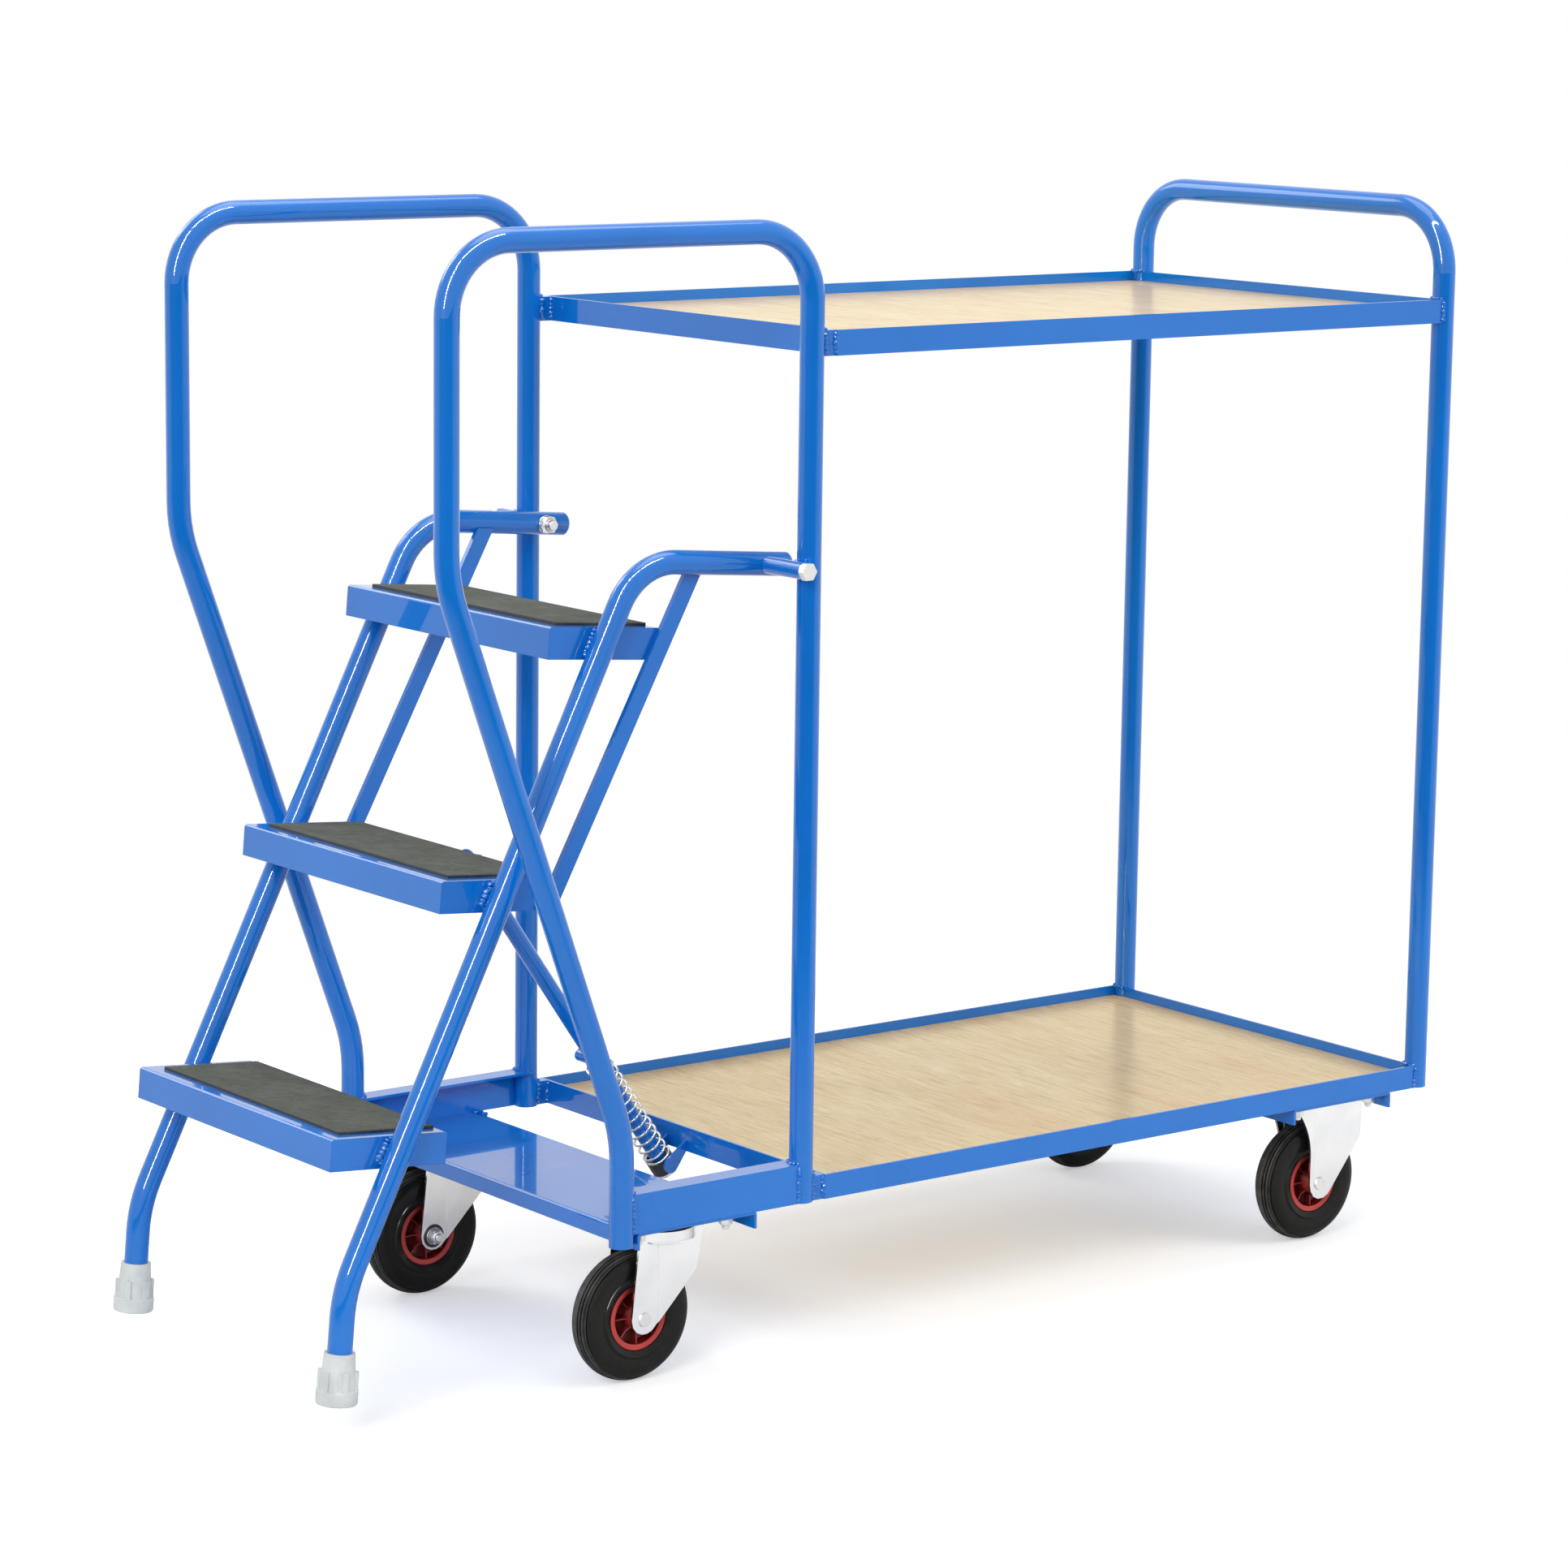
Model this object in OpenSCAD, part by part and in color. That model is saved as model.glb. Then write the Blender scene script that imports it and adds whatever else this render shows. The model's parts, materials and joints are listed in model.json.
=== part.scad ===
// Two-tray picking trolley with a sprung three-tread step unit, on four castors.
// The object stands with its long side along X, its steps towards -X, and the floor at z = 0.
// It is drawn at rest: the spring holds the step unit up, with its feet off the floor.

/* [Frame tubes] */
// Outer diameter of the frame tubes
tube_d = 25.4; // [20:0.1:30]
// Wall thickness of the frame tubes
tube_wall = 1.5; // [1:0.1:3]
// Distance between the centre planes of the side hoops
frame_w = 508; // [440:1:640]
// Distance from the step-end uprights to the handle-end uprights
frame_l = 904; // [600:1:1300]
// Height of the centre line of the hoops' top runs
hoop_z = 1191.3; // [1120:0.1:1320]
// Bend radius at the hoops' top corners
hoop_bend_r = 72; // [50:1:100]
// Distance from the step-end uprights to the outer run of the side hoops
hoop_reach = 445.4; // [400:1:520]
// Distance from the step-end uprights to the front legs
leg_reach = 231.4; // [200:1:260]
// Height at which the outer run starts to lean back
lean_top_z = 862; // [800:1:900]
// Height at which the lean ends in the front leg
lean_low_z = 280; // [270:1:330]
// Bend radius at both ends of the lean
lean_bend_r = 165; // [100:1:200]
// Height of the front legs' lower ends
leg_end_z = 163.3; // [155:0.1:172]

/* [Trays] */
// Height of the undersides of the lower tray and the extension rails
base_z = 176.3; // [172:0.1:184]
// Height of the top tray's underside
top_tray_z = 1063.3; // [960:0.1:1100]
// Height of the trays' rims
rim_h = 26.5; // [22:0.5:40]
// Width of the flange that carries the board
flange_w = 25; // [15:1:40]
// Sheet thickness of the rims and rails
rim_t = 3; // [2:0.1:4]
// How far the rims' outer faces lie beyond the tube centre planes
rim_out = 8.9; // [5:0.1:10]
// Gap between the step-end uprights' centre and the trays' end rims
tray_inset = 25.4; // [20:0.1:40]
// Thickness of the plywood boards
board_t = 12; // [6:0.5:18]
// Height of the extension rails
rail_h = 42; // [30:1:50]

/* [Castors] */
// Wheel diameter
wheel_d = 140; // [120:1:144]
// Tyre width
tyre_w = 36; // [30:1:40]
// How far the wheels' centre planes lie inside the side hoops
wheel_inset = 56; // [54:1:70]
// How far the swivel wheels trail behind their swivel axes
trail = 34.3; // [30:0.1:38]
// Distance from the step-end uprights to the fixed wheels' axles
fixed_x = 785; // [500:1:790]
// Width of the folded cross channels over the castors
channel_w = 153; // [146:1:156]
// Depth of the cross channels
channel_h = 18; // [10:1:20]
// Diameter of the wheel axles
axle_d = 10; // [8:0.5:12]

/* [Step unit] */
// Height of the step unit's hinge axis
pivot_z = 846.3; // [820:0.1:860]
// Distance of the stringer tubes' centre planes from the middle
stringer_y = 201; // [170:1:212]
// Angle that the spring lifts the step unit by
lift = 4.7; // [2:0.1:5]
// Distance from the hinge axis to the feet
foot_reach = 451.5; // [440:0.5:470]
// Height at which the foot turns into the slope, feet on the floor
foot_bend_z = 114; // [100:1:140]
// Distance from the hinge axis to the corner above the slope
slope_top_reach = 158.3; // [150:0.1:170]
// Height of the lowest tread, feet on the floor
first_tread_z = 265.9; // [250:0.1:275]
// Rise from tread to tread
rise = 255.8; // [240:0.1:257]
// Distance from the hinge axis to the lowest tread's nose
first_nose_reach = 469.1; // [460:0.1:480]
// Going from nose to nose
going = 109.1; // [105:0.1:115]
// Depth of a tread
tread_d = 137; // [125:1:142]
// Height of a tread's folded edges
tread_h = 33; // [25:1:40]
// Sheet thickness of the treads
tread_t = 2.5; // [2:0.1:3]
// Thickness of the ribbed mats
mat_t = 3; // [2:0.5:4]
// Base diameter of the rubber feet
ferrule_d = 42.5; // [40:0.5:48]
// Height of the rubber feet
ferrule_h = 52; // [40:1:60]

/* [Sprung strut] */
// Outer diameter of the strut tube
strut_d = 18; // [16:0.5:19]
// Distance from the second tread's back edge to the strut's top pin
lug_out = 25; // [22:1:28]
// Depth of the strut's top pin below the second tread
lug_drop = 16.4; // [14:0.1:20]
// Distance of the guide block's trunnions from the step-end uprights
guide_x = 5; // [2:1:8]
// Height of the guide block's trunnions
guide_z = 163.3; // [160:0.1:170]
// Distance from the guide block's trunnions up to the cross pin over the spring
cross_up = 154.5; // [140:0.5:170]
// Outer diameter of the spring
spring_d = 31; // [27:0.2:32]
// Wire diameter of the spring
wire_d = 2.6; // [2:0.1:3]
// Number of curls in the spring
curls = 12; // [9:1:14]

/* [Hidden] */
$fn = 14;
gap = 0.3;
fit = 0.05;

tube_r = tube_d / 2;
joint = 0.01;
liner_reach = 0.8;
liner_in = 0.25;
half_w = frame_w / 2;
ferrule_r = ferrule_d / 2;

// Furthest reach of the lifted feet, and the middle of the whole length
foot_lift_x = (foot_reach + ferrule_r) * cos(lift) + pivot_z * sin(lift);
pivot_back = tube_r + 9;
min_x = -pivot_back - foot_lift_x;
max_x = frame_l + tube_r;
post_x = -(min_x + max_x) / 2;

// Rims and boards
rim_y = half_w + rim_out;
rim_end_x = frame_l - 6.6;
tray_depth = rim_end_x - tray_inset;
board_gap = 0.6;
cleat_w = 13;

// Extension and cross channels
channel_end = rim_y - 1;
channel_t = 3;
plate_l = channel_w - 18;
plate_w = 110;
plate_t = 3;
plate_side = 1;
plate_top_z = base_z - channel_t;
plate_z = plate_top_z - plate_t;
fold_r = 3;
front_channel_x = -leg_reach + tube_r + 2.5;
swivel_x = -front_channel_x - channel_t - plate_side - plate_l / 2;
fixed_channel_x = fixed_x - channel_w / 2 - 4;

// Forks and wheels
wheel_y = half_w - wheel_inset;
axle_z = wheel_d / 2;
fork_in = tyre_w / 2 + 5;
fork_t = 3;
leg_front = 16;
shoulder_r = 20;
shoulder_z = axle_z + 55;
crease_step = 1.2;
flare_r = 85;
race_r = 34;
race_h = 7;
crown_gap = 0.5;
crown_t = 3.5;
crown_r = 40;
crown_z = plate_z - race_h - crown_gap - crown_t;
skirt_h = 9;
king_r = 6;
king_head_h = 4;
rim_r = 35.5;
rim_lip = 7;
hub_r = 13;
hub_w = 2 * fork_in - 2 * gap;
web_t = 4;
ribs = 8;
axle_r = axle_d / 2;

// Step unit, with its hinge axis at the origin and its feet on the floor
drop = pivot_z;
slope_top_z = 0;
slope_run = foot_reach - slope_top_reach;
slope_rise = slope_top_z - (foot_bend_z - drop);
slope_angle = atan(slope_run / slope_rise);
foot_bend_r = 150;
top_bend_r = 72;
foot_tuck = foot_bend_r * tan(slope_angle / 2);
top_tuck = top_bend_r * tan((90 - slope_angle) / 2);
foot_sole = 5;
run_end = 33;
bolt_r = 5;
boss_r = 9;
stringer_in = stringer_y - tube_r;
stringer_out = stringer_y + tube_r;
boss_out = half_w + 21;
mat_side = 18;
mat_front = 19;
mat_back = 5;
bar_w = 18;
bar_t = 6;
bar_slope = 0.44;
bar_top_x = -78.3;
bar_top_z = -5.6;
rib_w = 6;
rib_h = 20;

// Strut and guide block: directions at rest in the frame
pin_x0 = -first_nose_reach + going + tread_d + lug_out;
pin_z0 = first_tread_z + rise - lug_drop - drop;
pin_x = -pivot_back + pin_x0 * cos(lift) + pin_z0 * sin(lift);
pin_z = drop - pin_x0 * sin(lift) + pin_z0 * cos(lift);
strut_run = guide_x - pin_x;
strut_fall = pin_z - guide_z;
strut_len = sqrt(strut_run * strut_run + strut_fall * strut_fall);
strut_angle = atan(strut_run / strut_fall);
strut_r = strut_d / 2;
strut_wall = 2;
strut_top = 18;
guide_half = 8.5;
guide_r = 15;
guide_clear = 0.45;
cheek_in = guide_r + 0.5;
cheek_t = 3;
cheek_r = 9;
cheek_seat = 11;
trunnion_r = 4;
pin_r = 5;
lug_in = strut_r + 1;
lug_t = 4;
lug_r = 12;
cross_r = 7;
cross_near = 20;
cross_far = 30;
cross_at = strut_len - cross_up;
seat_t = 2;
spring_top = cross_at + cross_r + seat_t;
spring_low = strut_len - guide_half;
collar_t = 4;
collar_r = 13;

blue = [0.12, 0.36, 0.76];
zinc = [0.8, 0.81, 0.83];
ply = [0.85, 0.74, 0.55];
black = [0.09, 0.09, 0.09];
red = [0.78, 0.16, 0.13];
mat_green = [0.3, 0.32, 0.28];
pale_grey = [0.79, 0.81, 0.82];

// Places: on the frame, on the lifted step unit, and along the strut from its top pin

module on_frame() {
    translate([post_x, 0, 0]) children();
}

module on_steps() {
    on_frame()
        translate([-pivot_back, 0, pivot_z])
            rotate([0, lift, 0])
                children();
}

module on_strut() {
    on_frame()
        translate([pin_x, 0, pin_z])
            rotate([0, 180 - strut_angle, 0])
                children();
}

module both_sides() {
    children();
    mirror([0, 1, 0]) children();
}

// Tubes: a straight run along Z, a bend towards -X for a turn above zero, and a chain of both
module tube_ring(outer, inner) {
    difference() {
        circle(r = outer);
        circle(r = inner);
    }
}

module tube_run(length, low) {
    translate([0, 0, low])
        linear_extrude(length - low)
            tube_ring(tube_r, tube_r - tube_wall);
}

module tube_bend(turn, radius) {
    mirror([turn < 0 ? 1 : 0, 0, 0])
        translate([-radius, 0, 0])
            rotate([90, 0, 0])
                rotate_extrude(angle = abs(turn))
                    translate([radius, 0])
                        tube_ring(tube_r, tube_r - tube_wall);
}

// A liner within the wall joins each slanted run to the bend before it, so that a tube is one piece
module tube_liner() {
    linear_extrude(2 * liner_reach, center = true)
        tube_ring(tube_r - liner_in, tube_r - tube_wall + liner_in);
}

module after_bend(turn, radius) {
    side = turn < 0 ? 1 : -1;
    translate([side * radius * (1 - cos(turn)), 0, radius * abs(sin(turn))])
        rotate([0, -turn, 0])
            children();
}

module bent_tube(steps, i = 0, low = 0) {
    run = steps[i][0];
    turn = steps[i][1];
    radius = steps[i][2];
    slanted = turn % 90 != 0;
    tube_run(run, low);
    if (turn != 0)
        translate([0, 0, run]) {
            tube_bend(turn, radius);
            after_bend(turn, radius) {
                if (slanted) tube_liner();
                bent_tube(steps, i + 1, slanted ? joint : 0);
            }
        }
}

module upright_at(x, y, clear = 0.1) {
    translate([x, y, 0])
        cylinder(r = tube_r + clear, h = hoop_z);
}

// Side hoop: up the step-end upright, out along the top, down, and leaning back to the front leg
module side_hoop() {
    lean = atan((hoop_reach - leg_reach) / (lean_top_z - lean_low_z));
    lean_len = (lean_top_z - lean_low_z) / cos(lean);
    tuck = lean_bend_r * tan(lean / 2);
    translate([0, -half_w, base_z])
        bent_tube([
            [hoop_z - hoop_bend_r - base_z, 90, hoop_bend_r],
            [hoop_reach - 2 * hoop_bend_r, 90, hoop_bend_r],
            [hoop_z - hoop_bend_r - lean_top_z - tuck, lean, lean_bend_r],
            [lean_len - 2 * tuck, -lean, lean_bend_r],
            [lean_low_z - tuck - leg_end_z, 0, 0]
        ]);
}

module side_hoop_near() {
    color(blue) on_frame() side_hoop();
}

module side_hoop_far() {
    color(blue) on_frame() mirror([0, 1, 0]) side_hoop();
}

module end_hoop() {
    up = hoop_z - hoop_bend_r - base_z;
    color(blue)
        on_frame()
            translate([frame_l, -half_w, base_z])
                rotate([0, 0, -90])
                    bent_tube([
                        [up, 90, hoop_bend_r],
                        [frame_w - 2 * hoop_bend_r, 90, hoop_bend_r],
                        [up, 0, 0]
                    ]);
}

// Trays: an angle rim with an inward flange at the bottom, and a board that lies on the flange
module tray_rim(z) {
    inner = 2 * (rim_y - rim_t);
    clear_w = 2 * (rim_y - flange_w);
    difference() {
        translate([tray_inset, -rim_y, z])
            cube([tray_depth, 2 * rim_y, rim_h]);
        translate([tray_inset + rim_t, -inner / 2, z + rim_t])
            cube([tray_depth - 2 * rim_t, inner, rim_h]);
        translate([tray_inset + flange_w, -clear_w / 2, z - 1])
            cube([tray_depth - 2 * flange_w, clear_w, rim_h]);
        upright_at(frame_l, half_w);
        upright_at(frame_l, -half_w);
    }
}

module board(z) {
    edge = rim_t + board_gap;
    width = 2 * (rim_y - edge);
    difference() {
        translate([tray_inset + edge, -width / 2, z + rim_t])
            cube([tray_depth - 2 * edge, width, board_t]);
        upright_at(frame_l, half_w, 1);
        upright_at(frame_l, -half_w, 1);
    }
}

module cleats(z) {
    both_sides()
        difference() {
            translate([tube_r / 2, half_w - cleat_w / 2, z])
                cube([tray_inset - tube_r / 2, cleat_w, rim_h]);
            upright_at(0, half_w);
        }
}

module top_tray_rim() {
    color(blue) on_frame() tray_rim(top_tray_z);
}

module bottom_tray_rim() {
    color(blue) on_frame() tray_rim(base_z);
}

module top_board() {
    color(ply) on_frame() board(top_tray_z);
}

module bottom_board() {
    color(ply) on_frame() board(base_z);
}

module top_cleats() {
    color(blue) on_frame() cleats(top_tray_z);
}

module bottom_cleats() {
    color(blue) on_frame() cleats(base_z);
}

// Extension of the base: two inverted angle rails, and folded channels across for the castors
module extension_rails() {
    color(blue)
        on_frame()
            both_sides()
                difference() {
                    translate([-leg_reach, rim_y - flange_w, base_z])
                        cube([leg_reach, flange_w, rail_h]);
                    translate([-leg_reach - 1, rim_y - flange_w - 1, base_z - 1])
                        cube([leg_reach + 2, flange_w - rim_t + 1, rail_h - rim_t + 1]);
                    upright_at(0, half_w);
                    upright_at(-leg_reach, half_w);
                }
}

function fold_points(x, z, dir) = [
    for (a = [0 : 30 : 90]) [
        x + dir * fold_r * (1 - cos(a)),
        z - fold_r * (1 - sin(a))
    ]
];

function backwards(points) = [for (i = [len(points) - 1 : -1 : 0]) points[i]];

module folded_channel(x) {
    rotate([90, 0, 0])
        linear_extrude(2 * channel_end, center = true)
            difference() {
                polygon(concat(
                    [[x, base_z - channel_h]],
                    fold_points(x, base_z, 1),
                    backwards(fold_points(x + channel_w, base_z, -1)),
                    [[x + channel_w, base_z - channel_h]]
                ));
                translate([x + channel_t, base_z - channel_h - 1])
                    square([channel_w - 2 * channel_t, channel_h - channel_t + 1]);
            }
}

module front_channel() {
    color(blue) on_frame() folded_channel(front_channel_x);
}

module rear_channel() {
    color(blue) on_frame() folded_channel(fixed_channel_x);
}

// Hinge of the step unit: a boss on each upright, and a bolt that reaches through the stringer
module pivot_bosses() {
    color(blue)
        on_frame()
            both_sides()
                translate([-pivot_back, boss_out, pivot_z])
                    rotate([90, 0, 0])
                        difference() {
                            cylinder(r = boss_r, h = boss_out - stringer_out - gap);
                            translate([0, 0, -1])
                                cylinder(r = bolt_r + fit, h = boss_out);
                        }
}

module pivot_bolts() {
    head_af = 17;
    head_h = 6.4;
    nut_h = 8;
    nut_out = nut_h + 2;
    washer_r = 10;
    washer_t = 1.6;
    color(zinc)
        on_frame()
            both_sides()
                translate([-pivot_back, boss_out, pivot_z])
                    rotate([90, 0, 0]) {
                        translate([0, 0, -washer_t])
                            cylinder(r = boss_r - 0.2, h = washer_t);
                        translate([0, 0, -washer_t - head_h])
                            cylinder(r = head_af / sqrt(3), h = head_h, $fn = 6);
                        cylinder(r = bolt_r, h = boss_out - stringer_in + nut_out + 6);
                        translate([0, 0, boss_out - stringer_in + gap]) {
                            cylinder(r = washer_r, h = washer_t);
                            translate([0, 0, washer_t])
                                cylinder(r = head_af / sqrt(3), h = nut_h, $fn = 6);
                            translate([0, 0, washer_t])
                                cylinder(r = washer_r - 3, h = nut_out);
                        }
                    }
}

// Cheeks on the lower tray's end rim that carry the guide block's trunnions
module guide_cheeks() {
    color(blue)
        on_frame()
            both_sides()
                translate([0, cheek_in + cheek_t, 0])
                    rotate([90, 0, 0])
                        linear_extrude(cheek_t)
                            difference() {
                                hull() {
                                    translate([guide_x, guide_z]) circle(r = cheek_r);
                                    translate([tray_inset - 1, base_z + 1])
                                        square([1, cheek_seat]);
                                }
                                translate([guide_x, guide_z]) circle(r = trunnion_r + fit);
                            }
}

// Castors: top plates with their ball race and king pin, forks, axles, tyres and centres
module castor_plate() {
    translate([-plate_l / 2, -plate_w / 2, plate_z])
        cube([plate_l, plate_w, plate_t]);
}

module swivel_plates() {
    color(zinc)
        on_frame()
            for (side = [-1, 1])
                translate([-swivel_x, side * wheel_y, 0]) {
                    castor_plate();
                    translate([0, 0, plate_z - race_h])
                        cylinder(r1 = race_r, r2 = race_r - 4, h = race_h);
                    translate([0, 0, crown_z - gap])
                        cylinder(r = king_r, h = plate_z - crown_z);
                    translate([0, 0, crown_z - gap - king_head_h])
                        cylinder(r1 = king_r + 1, r2 = king_r + 4, h = king_head_h);
                }
}

// Outline of a fork leg: round at its end, then up past a shoulder to a straight top edge
module leg_outline(end_x, end_r, shoulder_x, from_x, to_x, top_z) {
    edge_h = 8;
    hull() {
        translate([end_x, axle_z]) circle(r = end_r);
        translate([shoulder_x, shoulder_z]) circle(r = shoulder_r);
        translate([from_x, top_z - edge_h]) square([to_x - from_x, edge_h]);
    }
}

// A leg is pressed from sheet: beyond a crease along its height it stands a little further out
module pressed_leg(axle_x, crease_x) {
    span = 2 * plate_l;
    lap = 0.5;
    for (side = [-1, 1])
        translate([0, side * (axle_x - crease_x) > 0 ? 0 : crease_step, 0])
            rotate([90, 0, 0])
                linear_extrude(fork_t)
                    difference() {
                        intersection() {
                            children();
                            translate([crease_x + side * (span - lap) / 2 - span / 2, 0])
                                square([span, base_z]);
                        }
                        translate([axle_x, axle_z]) circle(r = axle_r + fit);
                    }
}

module swivel_fork() {
    top_z = crown_z + crown_t;
    difference() {
        translate([0, 0, crown_z - skirt_h])
            cylinder(r = crown_r, h = crown_t + skirt_h);
        translate([0, 0, crown_z - skirt_h - 1])
            cylinder(r = crown_r - 3, h = skirt_h + 1);
        translate([0, 0, crown_z - skirt_h - 1])
            cylinder(r = king_r + fit, h = 30);
    }
    both_sides()
        translate([0, fork_in + fork_t, 0])
            pressed_leg(-trail, leg_front + 1 - trail)
                leg_outline(-trail, leg_front, 14, -crown_r, crown_r, top_z);
}

module swivel_fork_near() {
    color(zinc) on_frame() translate([-swivel_x, -wheel_y, 0]) swivel_fork();
}

module swivel_fork_far() {
    color(zinc) on_frame() translate([-swivel_x, wheel_y, 0]) swivel_fork();
}

// Flare at the front edge of a fixed leg, an arc that widens it towards the plate
module leg_flare() {
    flare_z = axle_z + 33;
    rise_h = plate_z - flare_z;
    difference() {
        translate([-leg_front - rise_h / 2, flare_z])
            square([rise_h, rise_h]);
        translate([-leg_front - flare_r, flare_z])
            circle(r = flare_r, $fn = 64);
    }
}

module fixed_fork() {
    castor_plate();
    both_sides()
        translate([0, fork_in + fork_t, 0])
            pressed_leg(0, 5 - leg_front) {
                leg_outline(2.5, leg_front + 2.5, 44, -leg_front, 44 + shoulder_r, plate_z);
                leg_flare();
            }
}

module fixed_fork_near() {
    color(zinc) on_frame() translate([fixed_x, -wheel_y, 0]) fixed_fork();
}

module fixed_fork_far() {
    color(zinc) on_frame() translate([fixed_x, wheel_y, 0]) fixed_fork();
}

// Axle bolt, with its flat head outside and its nut towards the middle of the trolley
module axle(x) {
    nut_af = 15;
    nut_h = 8;
    head_h = 2;
    reach = fork_in + fork_t;
    translate([x, reach - wheel_y, axle_z])
        rotate([90, 0, 0]) {
            cylinder(r = axle_r, h = 2 * reach + head_h - 1);
            translate([0, 0, 2 * reach])
                cylinder(r1 = axle_r + 3, r2 = axle_r + 2, h = head_h);
            translate([0, 0, -nut_h])
                cylinder(r = nut_af / sqrt(3), h = nut_h, $fn = 6);
        }
}

module swivel_axle_near() {
    color(zinc) on_frame() axle(-swivel_x - trail);
}

module swivel_axle_far() {
    color(zinc) on_frame() mirror([0, 1, 0]) axle(-swivel_x - trail);
}

module fixed_axles() {
    color(zinc)
        on_frame()
            both_sides()
                axle(fixed_x);
}

// Half of a tyre's section: a ridge on the sidewall, a round shoulder and a groove in the tread
function half_tyre(w) = [
    [rim_r, w - 3],
    [rim_r + 7, w + 0.5],
    [rim_r + 10, w - 0.6],
    [axle_z - 10, w - 0.8],
    [axle_z - 3.5, w - 3.6],
    [axle_z - 0.6, w - 7],
    [axle_z, w - 10],
    [axle_z - 1.8, w - 12],
    [axle_z, w - 14]
];

function mirrored(points) = [for (p = backwards(points)) [p[0], -p[1]]];

module tyre() {
    half = half_tyre(tyre_w / 2 - 0.5);
    translate([0, 0, axle_z])
        rotate([90, 0, 0])
            rotate_extrude()
                polygon(concat(half, mirrored(half)));
}

module wheel_centre() {
    rim_half = tyre_w / 2 - 3;
    translate([0, 0, axle_z])
        rotate([90, 0, 0]) {
            rotate_extrude()
                polygon([
                    [axle_r + fit, -hub_w / 2],
                    [hub_r, -hub_w / 2],
                    [hub_r, -web_t / 2],
                    [rim_r - rim_lip, -web_t / 2],
                    [rim_r - rim_lip, -rim_half],
                    [rim_r, -rim_half],
                    [rim_r, rim_half],
                    [rim_r - rim_lip, rim_half],
                    [rim_r - rim_lip, web_t / 2],
                    [hub_r, web_t / 2],
                    [hub_r, hub_w / 2],
                    [axle_r + fit, hub_w / 2]
                ]);
            for (i = [0 : ribs - 1])
                rotate([0, 0, i * 360 / ribs])
                    translate([hub_r - 1, -1, -rim_half + 4])
                        cube([rim_r - rim_lip - hub_r + 2, 2, 2 * rim_half - 8]);
        }
}

module front_wheel_at(side) {
    on_frame() translate([-swivel_x - trail, side * wheel_y, 0]) children();
}

module rear_wheel_at(side) {
    on_frame() translate([fixed_x, side * wheel_y, 0]) children();
}

module tyre_front_near() {
    color(black) front_wheel_at(-1) tyre();
}

module tyre_front_far() {
    color(black) front_wheel_at(1) tyre();
}

module tyre_rear_near() {
    color(black) rear_wheel_at(-1) tyre();
}

module tyre_rear_far() {
    color(black) rear_wheel_at(1) tyre();
}

module wheel_front_near() {
    color(red) front_wheel_at(-1) wheel_centre();
}

module wheel_front_far() {
    color(red) front_wheel_at(1) wheel_centre();
}

module wheel_rear_near() {
    color(red) rear_wheel_at(-1) wheel_centre();
}

module wheel_rear_far() {
    color(red) rear_wheel_at(1) wheel_centre();
}

// Stringer: up from the foot, back along the slope, and level to the hinge
module stringer() {
    slope_len = slope_rise / cos(slope_angle);
    foot_z = foot_sole - drop;
    difference() {
        union() {
            translate([-foot_reach, -stringer_y, foot_z])
                bent_tube([
                    [foot_bend_z - foot_sole - foot_tuck, -slope_angle, foot_bend_r],
                    [slope_len - foot_tuck - top_tuck, slope_angle - 90, top_bend_r],
                    [slope_top_reach - top_tuck + run_end - 2, 0, 0]
                ]);
            translate([run_end - 2, -stringer_y, 0])
                rotate([0, 90, 0])
                    cylinder(r1 = tube_r, r2 = tube_r - 1.5, h = 2);
        }
        translate([0, -stringer_y + tube_d, 0])
            rotate([90, 0, 0])
                cylinder(r = bolt_r + fit, h = 2 * tube_d);
    }
}

module stringer_near() {
    color(blue) on_steps() stringer();
}

module stringer_far() {
    color(blue) on_steps() mirror([0, 1, 0]) stringer();
}

// Rubber foot: a broad base, and a tapering socket for the tube with ribs round its lower half
module ferrule() {
    base_h = 14;
    socket_r = tube_r + 3;
    translate([-foot_reach, -stringer_y, -drop]) {
        rotate_extrude()
            polygon([
                [0, 0],
                [ferrule_r - 1, 0],
                [ferrule_r, 1.5],
                [ferrule_r, base_h],
                [ferrule_r - 3, base_h + 1.5],
                [socket_r, ferrule_h],
                [tube_r + fit, ferrule_h],
                [tube_r + fit, foot_sole],
                [0, foot_sole]
            ]);
        for (i = [0 : 5])
            rotate([0, 0, i * 60 + 20])
                translate([socket_r - 1, -rib_w / 2, base_h - 1])
                    cube([ferrule_r - socket_r, rib_w, rib_h + 1]);
    }
}

module ferrule_near() {
    color(pale_grey) on_steps() ferrule();
}

module ferrule_far() {
    color(pale_grey) on_steps() mirror([0, 1, 0]) ferrule();
}

// Treads: folded from sheet, closed at the ends and open below, each with a ribbed mat
function nose_x(n) = -first_nose_reach + (n - 1) * going;
function tread_z(n) = first_tread_z + (n - 1) * rise - drop;

module tread(n) {
    x = nose_x(n);
    z = tread_z(n);
    difference() {
        rotate([90, 0, 0])
            linear_extrude(2 * stringer_in, center = true)
                polygon(concat(
                    [[x, z - tread_h]],
                    fold_points(x, z, 1),
                    backwards(fold_points(x + tread_d, z, -1)),
                    [[x + tread_d, z - tread_h]]
                ));
        translate([x + tread_t, -stringer_in + tread_t, z - tread_h - tread_t])
            cube([tread_d - 2 * tread_t, 2 * (stringer_in - tread_t), tread_h]);
    }
}

module mat(n) {
    width = 2 * (stringer_in - mat_side);
    translate([nose_x(n) + mat_front, -width / 2, tread_z(n)])
        cube([tread_d - mat_front - mat_back, width, mat_t]);
}

module tread_1() {
    color(blue) on_steps() tread(1);
}

module tread_2() {
    color(blue) on_steps() tread(2);
}

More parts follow.
